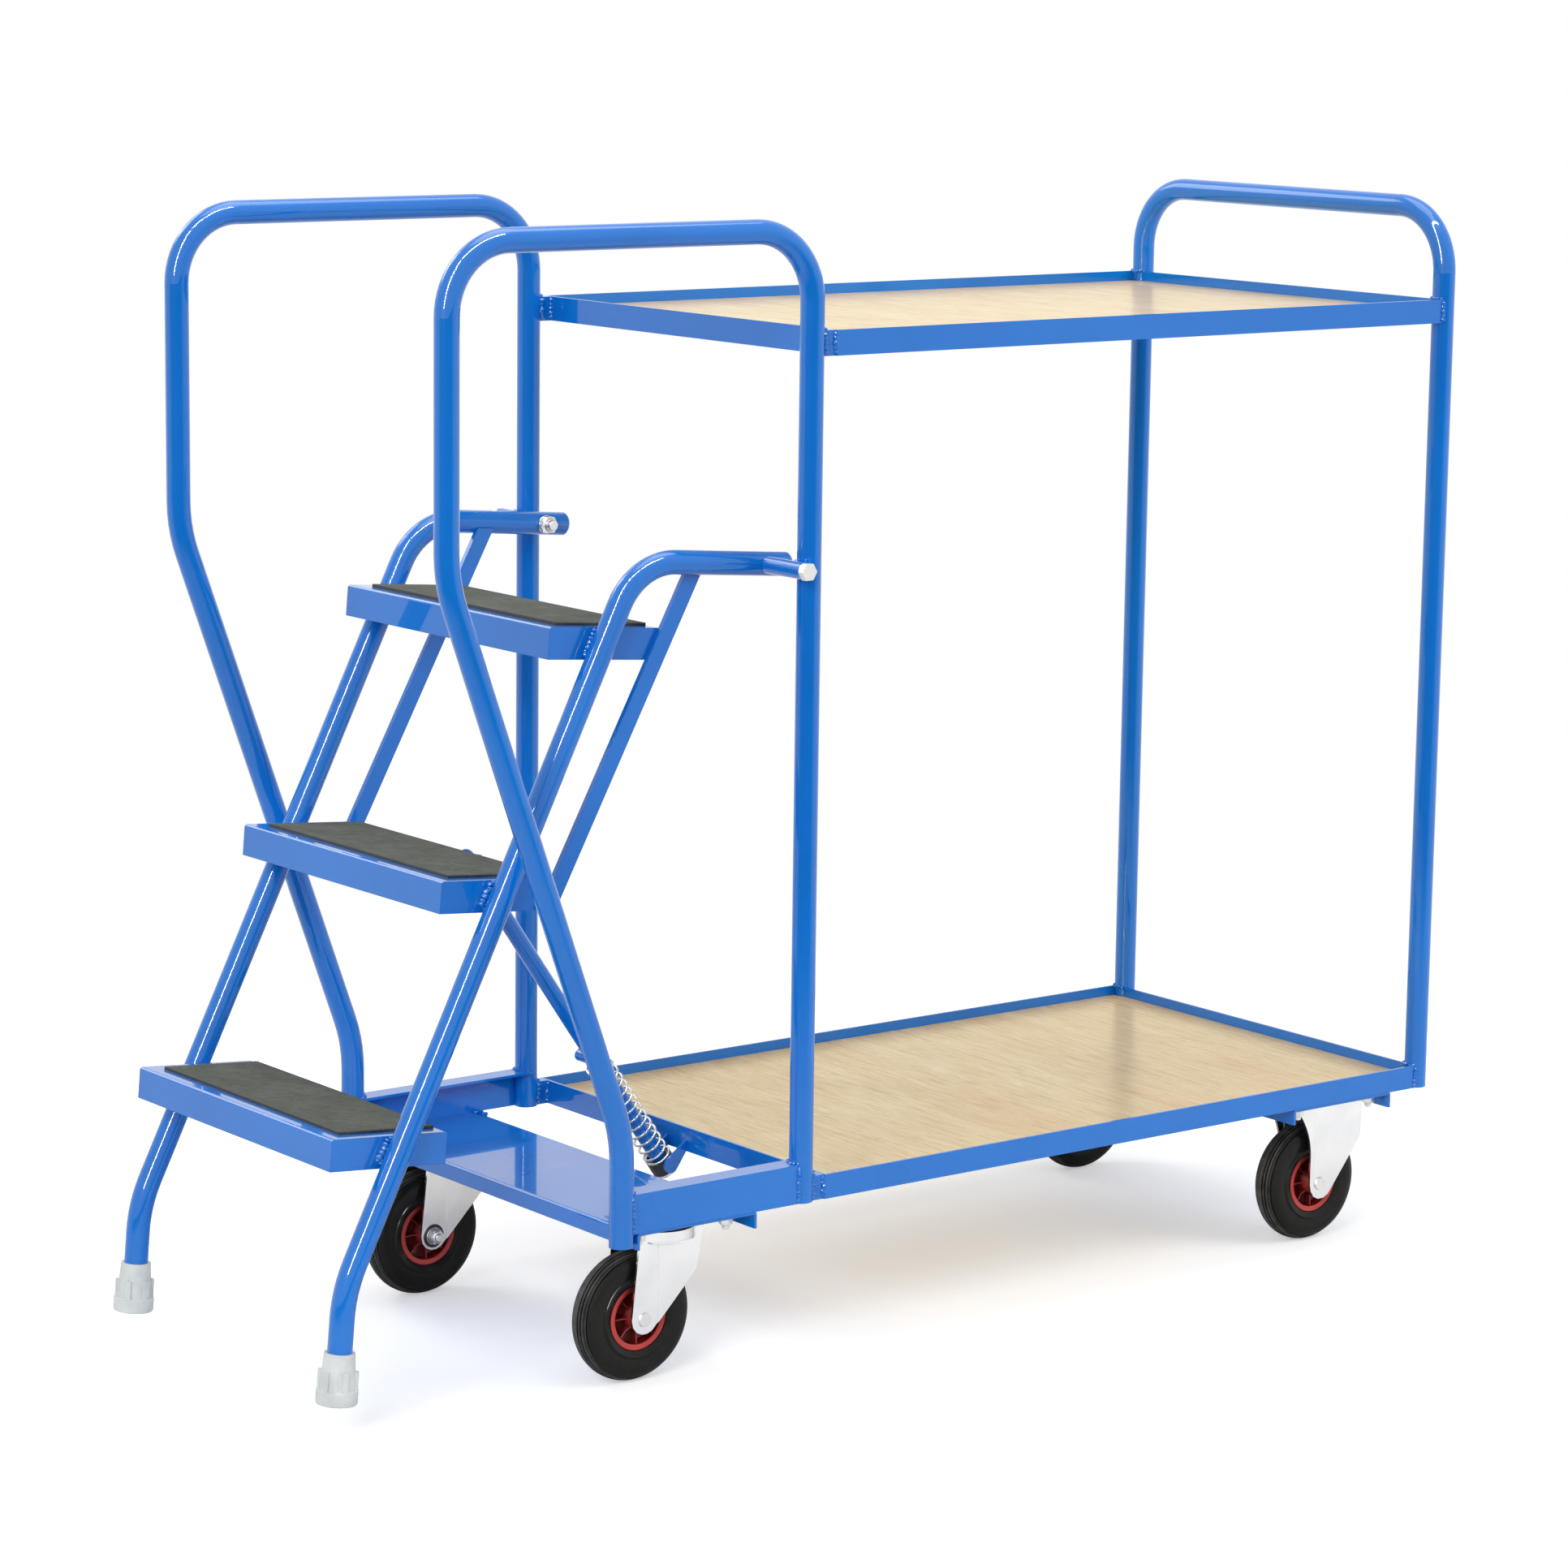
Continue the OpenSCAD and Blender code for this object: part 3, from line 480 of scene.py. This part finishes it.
def turned(bm, centre, direction, profile, steps=32):
    """A turned solid on centre; profile is (radius, height) from axis to axis."""
    d, u, v = standing(direction)
    on_axis = 1e-5
    loft(bm, [
        ring(bm, centre + d * h, u, v, [max(r, on_axis)] * steps) for r, h in profile])


def hex_nut(bm, centre, direction, across, height, chamfer=0.0008, steps=24):
    """A hexagon nut on centre, with its top turned down to a circle."""
    d, u, v = standing(direction)
    hexagon = []
    for i in range(steps):
        from_flat = (2 * math.pi * i / steps + math.pi / 6) % (math.pi / 3) - math.pi / 6
        hexagon.append(across / 2 / math.cos(from_flat))
    top = [min(r, across / 2) * 0.97 for r in hexagon]
    loft(bm, [
        ring(bm, centre + d * h, u, v, radii)
        for h, radii in ((0.0, hexagon), (height - chamfer, hexagon), (height, top))])


# ---------------------------------------------------------------- wheels
HUB_R = 0.0125
SPOKES = 8
TREAD_FROM = AXLE_Z - 0.0050
# each rib of the tread as its depth below the tyre's radius and its place from the side
RIBS_OF_TREAD = ((0.0046, 0.0052), (0.0022, 0.0086), (0.0008, 0.0118), (0.0001, 0.0148))


def tyre_profile():
    w = TYRE_HALF
    # bead against the rim, a raised ring, and the flat of the sidewall
    pts = [(RIM_R + r, w + h) for r, h in (
        (0.0, -0.0032), (0.0010, -0.0016), (0.0038, -0.0010), (0.0056, 0.0),
        (0.0064, 0.0005), (0.0074, 0.0005), (0.0082, -0.0002), (0.0090, -0.0014),
        (0.0140, -0.0008), (0.0190, -0.0006), (0.0225, -0.0011))]
    pts += [(AXLE_Z - r, w - h) for r, h in (
        (0.0090, 0.0021), (0.0068, 0.0032), (0.0056, 0.0042))]
    # ribs round the shoulder and across the tread, with a groove before each
    for depth, at in RIBS_OF_TREAD:
        pts += [(AXLE_Z - depth + r, w - at + h) for r, h in (
            (-0.0026, 0.0008), (-0.0025, 0.0001),
            (0.0, -0.0003), (0.0001, -0.0014), (-0.0003, -0.0021))]
    return mirrored(pts)


def centre_profile():
    half = CENTRE_HALF
    lip = RIM_R - 0.007
    return mirrored([
        (0.0051, 0.0205), (HUB_R, 0.0205), (0.0130, 0.0198), (0.0134, 0.0040), (0.0148, 0.0022),
        (lip - 0.0030, 0.0022), (lip - 0.0008, 0.0034), (lip, 0.0058),
        (lip + 0.0008, half - 0.0008), (lip + 0.0018, half),
        (RIM_R - 0.0006, half), (RIM_R, half - 0.0006)])


def spokes(bm, centre):
    """Ribs from the hub to the lip, on both sides of the web."""
    foot_half, top_half, foot_y = 0.0011, 0.0006, 0.0015
    for i in range(SPOKES):
        a = math.pi * 2 * i / SPOKES
        u = Vector((math.cos(a), 0, -math.sin(a)))
        t = Vector((math.sin(a), 0, math.cos(a)))
        for side in (-1, 1):
            rows = []
            for r, h in ((HUB_R, 0.0010), (0.0190, 0.0042), (RIM_R - 0.006, 0.0030)):
                along = Vector(centre) + u * r
                foot = Vector((0, side * foot_y, 0))
                top = Vector((0, side * (CENTRE_HALF - h), 0))
                rows.append([bm.verts.new(p) for p in (
                    along + t * foot_half + foot, along + t * top_half + top,
                    along - t * top_half + top, along - t * foot_half + foot)])
            loft(bm, rows)


for end, x in (("front", SWIVEL_X - TRAIL), ("rear", FIXED_X)):
    for far, side in SIDES:
        body = f"{end}_wheel_{far}"
        centre = on_frame((x, side * WHEEL_Y, AXLE_Z))
        bm = bmesh.new()
        lathe(bm, centre, tyre_profile(), 120)
        tyre = piece(
            f"tyre_ribbed_{end}_{far}", bm, "tyre", body, 50, [f"tyre_{end}_{far}"])
        tyre.data.materials.append(MATS["tread"])
        for poly in tyre.data.polygons:
            p = poly.center - centre
            if math.hypot(p.x, p.z) > TREAD_FROM:
                poly.material_index = 1
        bm = bmesh.new()
        lathe(bm, centre, centre_profile(), 72)
        spokes(bm, centre)
        piece(
            f"wheel_centre_{end}_{far}", bm, "wheel_red", body, 40,
            [f"wheel_{end}_{far}"])

# ---------------------------------------------------------------- castor hardware
CROWN_LIP = (
    (0.0372, 0.0), (0.0378, -0.0006), (0.0398, -0.0006), (0.0405, 0.0002), (0.0403, 0.0012),
    (0.0400, 0.0020), (0.0395, 0.0024), (0.0372, 0.0024))
RACE_SHADE_RING = (
    (0.0300, 0.0), (0.0365, 0.0), (0.0378, 0.0016), (0.0378, 0.0048), (0.0362, 0.0064),
    (0.0300, 0.0064))
PLATE_WASHER = ((0, -0.0004), (0.0084, -0.0004), (0.0086, 0.0003), (0.0084, 0.0013), (0, 0.0013))
PLATE_NUT = {"across": 0.013, "height": 0.0065}
COLLAR_AND_BOLT = (
    (0, 0), (0.0054, 0), (0.0054, 0.0008), (0.0048, 0.0018), (0.0040, 0.0022), (0.0040, 0.0048),
    (0.0034, 0.0056), (0, 0.0056))
AXLE_WASHER = ((0, -0.0005), (0.0096, -0.0005), (0.0098, 0.0003), (0.0096, 0.0012), (0, 0.0012))
AXLE_COLLAR = (
    (0, -0.001), (0.0068, -0.001), (0.0068, 0.0010), (0.0060, 0.0022), (0.0050, 0.0024),
    (0.0046, 0.0020), (0.0044, 0.0034), (0.0036, 0.0040), (0, 0.0040))
AXLE_SHADE_RING = (
    (0.0094, 0.0005), (0.0128, 0.0005), (0.0132, 0.0), (0.0128, -0.0005), (0.0094, -0.0005))
DOWN = (0, 0, -1)
HARDWARE_SHARP = 35

for far, side in SIDES:
    # crown lip of the swivel castor, and a ring coloured dark as painted shade in the gap of its
    # race
    c = on_frame((SWIVEL_X, side * WHEEL_Y, 0))
    bm = bmesh.new()
    lathe(bm, (c.x, c.y, CROWN_Z), CROWN_LIP, 72, "Z")
    piece(f"crown_lip_{far}", bm, "zinc", f"fork_{far}", HARDWARE_SHARP)
    bm = bmesh.new()
    lathe(bm, (c.x, c.y, RACE_Z), RACE_SHADE_RING, 72, "Z")
    piece(f"shaded_race_{far}", bm, "gap_shade", "frame", HARDWARE_SHARP)
    # nuts and bolt ends under the castor plates
    for end, px in ENDS:
        bm = bmesh.new()
        for dx in (-PLATE_BOLT_X, PLATE_BOLT_X):
            for dy in (-PLATE_BOLT_Y, PLATE_BOLT_Y):
                p = on_frame((px + dx, side * WHEEL_Y + dy, BASE_Z - PLATE_T))
                turned(bm, p, DOWN, PLATE_WASHER)
                hex_nut(bm, p + Vector((0, 0, -0.0012)), DOWN, **PLATE_NUT)
                turned(bm, p + Vector((0, 0, -0.0070)), DOWN, COLLAR_AND_BOLT)
        piece(f"plate_nuts_{end}_{far}", bm, "zinc_nut", "frame", HARDWARE_SHARP)
    # washer, collar and bolt end of each axle nut, towards the middle of the trolley
    for end, px, body in (("front", SWIVEL_X - TRAIL, f"fork_{far}"), ("rear", FIXED_X, "frame")):
        inwards = (0, -side, 0)
        face = on_frame((px, side * (WHEEL_Y - WASHER_IN), AXLE_Z))
        bm = bmesh.new()
        turned(bm, face, inwards, AXLE_WASHER)
        turned(bm, on_frame((px, side * (WHEEL_Y - NUT_IN), AXLE_Z)), inwards, AXLE_COLLAR)
        piece(f"axle_trim_{end}_{far}", bm, "zinc_nut", body, HARDWARE_SHARP)
        # painted shade: a dark ring round the washer
        bm = bmesh.new()
        lathe(bm, face, AXLE_SHADE_RING, 48)
        piece(f"axle_ring_{end}_{far}", bm, "gap_shade", body, HARDWARE_SHARP)


def spring_line(foot, axis, height):
    """The wire's middle: open curls between two turns that lie almost flat on the seats."""
    steps = 40
    flat_rise, gap = 0.0004, 0.0003
    side = ACROSS.cross(axis).normalized()
    r = SPRING_R - WIRE_R
    line = []
    for i in range(int((CURLS + 2 * FLAT_TURN) * steps) + 1):
        turn = i / steps
        a = 2 * math.pi * (turn - FLAT_TURN)
        if turn < FLAT_TURN:
            h = WIRE_R + flat_rise * turn
        elif turn > CURLS + FLAT_TURN:
            h = height - WIRE_R - flat_rise * (CURLS + 2 * FLAT_TURN - turn)
        else:
            t = (turn - FLAT_TURN) / CURLS
            h = WIRE_R + gap + (height - 2 * WIRE_R - 2 * gap) * t
        line.append(foot + axis * h + r * (math.cos(a) * side + math.sin(a) * ACROSS))
    return line


low = on_frame(GUIDE)
axis = (on_steps(STRUT_PIN) - low).normalized()
seat_top = low + axis * (CROSS_UP - WASHER_DOWN - WASHER_T)
seat_low = low + axis * BLOCK_TOP
height = (seat_top - seat_low).length
bm = bmesh.new()
tube_along(bm, spring_line(seat_low, axis, height), lambda i: WIRE_R, 10)
spring = piece("spring_wire", bm, "spring_steel", "strut", 60, ["spring"])
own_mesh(spring)

# ---------------------------------------------------------------- ribbed mats
MAT_FRONT = 0.019
MAT_BACK = 0.005
MAT_HALF = STRINGER_IN - 0.018
MAT_RIBS = 38
RIB_TOP = 0.0030
GROOVE_TOP = 0.0018

for n in range(3):
    x0 = NOSE_X[n] + MAT_FRONT
    x1 = NOSE_X[n] + TREAD_D - MAT_BACK
    pitch = (x1 - x0) / MAT_RIBS
    outline = [(x0, 0.0)]
    for i in range(MAT_RIBS):
        a = x0 + i * pitch
        outline += [(a + 0.06 * pitch, RIB_TOP), (a + 0.50 * pitch, RIB_TOP)]
        outline += [(a + 0.60 * pitch, GROOVE_TOP), (a + 0.96 * pitch, GROOVE_TOP)]
    outline += [(x1 - 0.02 * pitch, RIB_TOP), (x1, 0.0)]
    bm = bmesh.new()
    loft(bm, [
        [bm.verts.new(on_steps((x, y, TREAD_Z[n] + z))) for x, z in outline]
        for y in (-MAT_HALF, MAT_HALF)])
    mat = piece(f"ribbed_mat_{n + 1}", bm, "mat", "step_unit", 30, [f"mat_{n + 1}"])
    # the cut sides and the front edge take the near-black bush material
    mat.data.materials.append(MATS["bush"])
    front = on_steps((x0 + 0.03 * pitch, 0, TREAD_Z[n])).x
    for poly in mat.data.polygons:
        if len(poly.vertices) > 4 or abs(poly.center.x - front) < 0.06 * pitch:
            poly.material_index = 1

# ---------------------------------------------------------------- welds
BEAD_SIDES = 8
BEAD_STEP = 0.0008
DROP_LENGTH = 0.0048
# how far a bead wanders, and how often to a metre it wanders and changes its thickness
WANDER, WANDER_RATE, LUMP_RATE = 0.0011, 210.0, 700.0
END_GAP = 0.001
PROUD = 0.0001


def bead(bm, a, b, r=0.0021):
    """A weld bead from a to b: small overlapping drops, as uneven as a hand-made weld."""
    length = (b - a).length
    n = max(8, int(length / BEAD_STEP))
    pts = []
    for i in range(n + 1):
        p = a.lerp(b, i / n)
        pts.append(p + noise.noise_vector(p * WANDER_RATE) * WANDER)

    def radius(i):
        drop = 0.72 + 0.56 * abs(math.sin(math.pi * (i / n * length) / DROP_LENGTH))
        end = min(1.0, (min(i, n - i) + 0.6) / 3.0)
        return 1.45 * r * drop * end * (1 + 0.18 * noise.noise(pts[i] * LUMP_RATE))

    tube_along(bm, pts, radius, BEAD_SIDES)


def beads_along(bm, points, r):
    for p, q in zip(points, points[1:]):
        bead(bm, p, q, r)


def upright_bead(bm, x, y, z, height, r=0.0021):
    """A bead up the end of a frame part that stands on z."""
    bead(bm, on_frame((x, y, z + END_GAP)), on_frame((x, y, z + height - END_GAP)), r)


def tray_welds(bm, s, z):
    # cleat between a step-end upright and the tray
    cleat_ys = (HALF_W - CLEAT_HALF, HALF_W + CLEAT_HALF)
    for y in cleat_ys:
        upright_bead(bm, 0.0122, s * y, z, RIM_H)
        upright_bead(bm, TRAY_INSET - 0.0004, s * y, z, RIM_H, 0.0016)
    bead(bm, *(on_frame((0.0128, s * y, z + RIM_H)) for y in cleat_ys))
    # rim notched round a handle-end upright
    a = math.asin((RIM_Y - HALF_W) / TUBE_R)
    b = math.acos((FRAME_L - RIM_END_X) / TUBE_R)
    px = FRAME_L - TUBE_R * math.cos(a)
    py = HALF_W - TUBE_R * math.sin(b)
    upright_bead(bm, px + 0.0004, s * (RIM_Y + PROUD), z, RIM_H, 0.0017)
    upright_bead(bm, RIM_END_X, s * (py - 0.0003), z, RIM_H, 0.0018)
    turns = [math.pi - a + (a + b) * i / 6 for i in range(7)]
    beads_along(bm, [
        on_frame((
            FRAME_L + TUBE_R * math.cos(t), s * (HALF_W + TUBE_R * math.sin(t)),
            z + RIM_H - 0.0002))
        for t in turns], 0.0015)


def rail_welds(bm, s):
    # side faces of the rails and the rim against the uprights and the legs
    dx = math.sqrt(TUBE_R ** 2 - (RIM_Y - HALF_W) ** 2)
    for x, height in ((-dx - 0.0002, RAIL_H), (dx + 0.0002, RIM_H), (LEG_X + dx + 0.0002, RAIL_H)):
        upright_bead(bm, x, s * (RIM_Y + PROUD), BASE_Z, height, 0.0016)
    # round the top of a rail, on the leg side of an upright and the upright side of a leg
    turns = [-1.3 + 2.1 * i / 7 for i in range(8)]
    for x, towards in ((0.0, -1), (LEG_X, 1)):
        beads_along(bm, [
            on_frame((
                x + towards * TUBE_R * math.cos(t), s * (HALF_W + TUBE_R * math.sin(t)),
                BASE_Z + RAIL_H))
            for t in turns], 0.0016)


def boss_weld(bm, s):
    # hinge boss against the upright
    turns = [-1.2 + 2.4 * i / 8 for i in range(9)]
    beads_along(bm, [
        on_frame((
            PIVOT_X + BOSS_R * math.cos(t), s * (HALF_W + 0.004 - BOSS_R * math.sin(abs(t) / 2)),
            PIVOT_Z + BOSS_R * math.sin(t)))
        for t in turns], 0.0014)


bm = bmesh.new()
for s in (-1, 1):
    for z in (TOP_TRAY_Z, BASE_Z):
        tray_welds(bm, s, z)
    rail_welds(bm, s)
    boss_weld(bm, s)
    # castor channel against the rails
    for x in (CHANNEL_X, CHANNEL_X + CHANNEL_W):
        bead(bm, *(on_frame((x, s * y, BASE_Z + 0.0006)) for y in CHANNEL_Y), 0.0015)
piece("welds_frame", bm, "weld_blue", "frame", 80)

bm = bmesh.new()
for n, (top, bottom) in enumerate((z, z - TREAD_H) for z in TREAD_Z):
    # the highest tread's welds end where the stringer starts to bend, and are lighter
    highest = n == 2
    top_x, size = (-0.1600, 0.0022) if highest else (STRINGER_X, 0.0026)
    for s in (-1, 1):
        y = s * (STRINGER_IN - 0.0002)
        for off in (-0.0072, 0.0072):
            xa = top_x + STRINGER_SLOPE * top + off
            xb = STRINGER_X + STRINGER_SLOPE * bottom + off
            bead(bm, on_steps((xa, y, top - 0.0005)), on_steps((xb, y, bottom + 0.002)), size)
            if off < 0 and not highest:
                bead(
                    bm, on_steps((xa - 0.0042, y, top - 0.002)),
                    on_steps((xb - 0.0030, y, bottom + 0.006)), 0.0028)
for s in (-1, 1):
    # flat bars at their top, and at the back corner of the second tread
    bar_y = s * (STRINGER_IN + 0.0062)
    bead(bm, on_steps((-0.0900, bar_y, -0.0112)), on_steps((-0.0680, bar_y, -0.0112)), 0.0016)
    corner_y = s * (STRINGER_IN + 0.0004)
    bead(bm, on_steps((-0.2235, corner_y, -0.3246)), on_steps((-0.2270, corner_y, -0.3560)), 0.0016)
    # strut lug behind the second tread
    for y in (0.0099, 0.0141):
        bead(bm, on_steps((-0.2232, s * y, -0.3300)), on_steps((-0.2232, s * y, -0.3500)), 0.0015)
piece("welds_steps", bm, "weld_blue", "step_unit", 80)

# ---------------------------------------------------------------- floor
FLOOR_RINGS = (0.6, 1.5, 3.0, 7.0, 18.0, 45.0)
FLOOR_STEPS = 64
PHOTO_SIDE = (-0.611, -0.791, 0.0)


def floor_mesh():
    bm = bmesh.new()
    turns = [2 * math.pi * i / FLOOR_STEPS for i in range(FLOOR_STEPS)]
    rings = []
    for r in FLOOR_RINGS:
        rings.append([bm.verts.new((r * math.cos(a), r * math.sin(a), 0.0)) for a in turns])
    bm.faces.new(rings[0])
    for a, b in zip(rings, rings[1:]):
        for i in range(FLOOR_STEPS):
            m = (i + 1) % FLOOR_STEPS
            bm.faces.new((a[i], b[i], b[m], a[m]))
    me = bpy.data.meshes.new("floor")
    bm.to_mesh(me)
    bm.free()
    return me


def floor_material():
    m = Material("floor_pale")
    cloud = m.noise(1.3, 3.0, 0.5)
    m.colour(m.ramp(cloud, [(0.3, (0.80, 0.805, 0.81)), (0.7, (0.83, 0.832, 0.835))]))
    m.set(Roughness=0.9, Specular_IOR_Level=0.1)
    seen = m.add("ShaderNodeLightPath"), "Is Camera Ray"
    # the lit sheet near the object, which keeps its shadow and is lifted only to the camera
    lift = m.add("ShaderNodeMapRange", {"To Max": 0.40})
    m.join(seen, lift, "Value")
    glow = m.add("ShaderNodeEmission")
    m.join((lift, "Result"), glow, "Strength")
    near = m.add("ShaderNodeAddShader")
    m.join((m.shader, "BSDF"), near, 0)
    m.join((glow, "Emission"), near, 1)
    # further out it is white to the camera, and in what the paint mirrors one side is dim
    heading = m.add("ShaderNodeVectorMath", operation="NORMALIZE")
    m.join(m.coord, heading, 0)
    toward = m.add("ShaderNodeVectorMath", {1: PHOTO_SIDE}, operation="DOT_PRODUCT")
    m.join((heading, "Vector"), toward, 0)
    room = m.add("ShaderNodeMapRange", {
        "From Min": 0.30, "From Max": 0.75, "To Min": 0.95, "To Max": 0.10,
    }, interpolation_type="SMOOTHSTEP")
    m.join((toward, "Value"), room, "Value")
    level = m.add("ShaderNodeMapRange", {"To Max": 1.0})
    m.join((room, "Result"), level, "To Min")
    m.join(seen, level, "Value")
    far = m.add("ShaderNodeEmission")
    m.join((level, "Result"), far, "Strength")
    # from the one to the other with the distance
    radius = m.add("ShaderNodeVectorMath", operation="LENGTH")
    m.join(m.coord, radius, 0)
    fade = m.add(
        "ShaderNodeMapRange", {"From Min": 1.1, "From Max": 2.5}, interpolation_type="SMOOTHSTEP")
    m.join((radius, "Value"), fade, "Value")
    whole = m.add("ShaderNodeMixShader")
    m.join((fade, "Result"), whole, 0)
    m.join((near, "Shader"), whole, 1)
    m.join((far, "Emission"), whole, 2)
    m.join((whole, "Shader"), m.out, "Surface")
    return m.mat


floor = bpy.data.objects.new("floor", floor_mesh())
bpy.context.scene.collection.objects.link(floor)
floor.data.materials.append(floor_material())

# ---------------------------------------------------------------- light
world = bpy.data.worlds.new("studio")
bpy.context.scene.world = world
world.use_nodes = True
sky = Tree(world.node_tree)
# white to the camera and in gloss and glass, and a plainer level for the light it gives
path = sky.add("ShaderNodeLightPath")
seen = path, "Is Camera Ray"
for ray in ("Is Glossy Ray", "Is Transmission Ray"):
    either = sky.add("ShaderNodeMath", operation="MAXIMUM")
    sky.join(seen, either, 0)
    sky.join((path, ray), either, 1)
    seen = either, 0
level = sky.add("ShaderNodeMapRange", {"To Min": 0.48, "To Max": 1.0})
sky.join(seen, level, "Value")
back = sky.add("ShaderNodeBackground", {"Color": (*WHITE, 1.0)})
sky.join((level, "Result"), back, "Strength")
sky.join((back, "Background"), sky.add("ShaderNodeOutputWorld"), "Surface")


def lamp(name, place, target, size, power, size_y=None):
    data = bpy.data.lights.new(name, "AREA")
    data.energy = power
    data.size = size
    if size_y:
        data.shape = "RECTANGLE"
        data.size_y = size_y
    ob = bpy.data.objects.new(name, data)
    bpy.context.scene.collection.objects.link(ob)
    ob.location = place
    ob.rotation_euler = (Vector(target) - Vector(place)).to_track_quat("-Z", "Y").to_euler()
    return ob


lamp("key", (-3.7, -2.3, 2.4), (0, 0, 0.7), 1.8, 94).visible_glossy = False
lamp("fill", (3.0, -3.0, 2.8), (0, 0, 0.9), 3.0, 90).visible_glossy = False
lamp("top", (0.4, 0.2, 4.2), (0, 0, 0.3), 2.6, 55)
lamp("back", (-1.1, 3.2, 3.1), (-0.3, 0, 0.6), 1.8, 36)
# two narrow strips that draw the thin white lines along the bent tubes, and show only in gloss
lamp("strip", (-3.75, -1.85, 3.3), (-0.2, -0.1, 0.7), 0.30, 340, 4.2).visible_diffuse = False
lamp("strip_above", (-0.5, -1.9, 5.6), (-0.2, 0, 0.9), 4.6, 340, 0.30).visible_diffuse = False

# ---------------------------------------------------------------- camera, fitted to the photograph
PHOTO_PX = 1932
FOCAL_PX = 5896.85
SENSOR_MM = 36.0
CAMERA = (-3.17411, -4.09668, 1.48490)
AZIMUTH = math.radians(37.6816)
DIP = math.radians(10.0562)
ROLL = math.radians(0.7513)

cam_data = bpy.data.cameras.new("camera")
cam_data.sensor_width = SENSOR_MM
cam_data.lens = FOCAL_PX / PHOTO_PX * SENSOR_MM
cam_data.clip_end = 200.0
cam = bpy.data.objects.new("camera", cam_data)
bpy.context.scene.collection.objects.link(cam)
look = Vector((
    math.sin(AZIMUTH) * math.cos(DIP), math.cos(AZIMUTH) * math.cos(DIP), -math.sin(DIP)))
level_right = look.cross(UP).normalized()
level_up = level_right.cross(look)
right = level_right * math.cos(ROLL) + level_up * math.sin(ROLL)
up = level_up * math.cos(ROLL) - level_right * math.sin(ROLL)
turn = Matrix((right, up, -look)).transposed().to_4x4()
cam.matrix_world = Matrix.Translation(CAMERA) @ turn
bpy.context.scene.camera = cam

view = bpy.context.scene.view_settings
view.view_transform = "Standard"
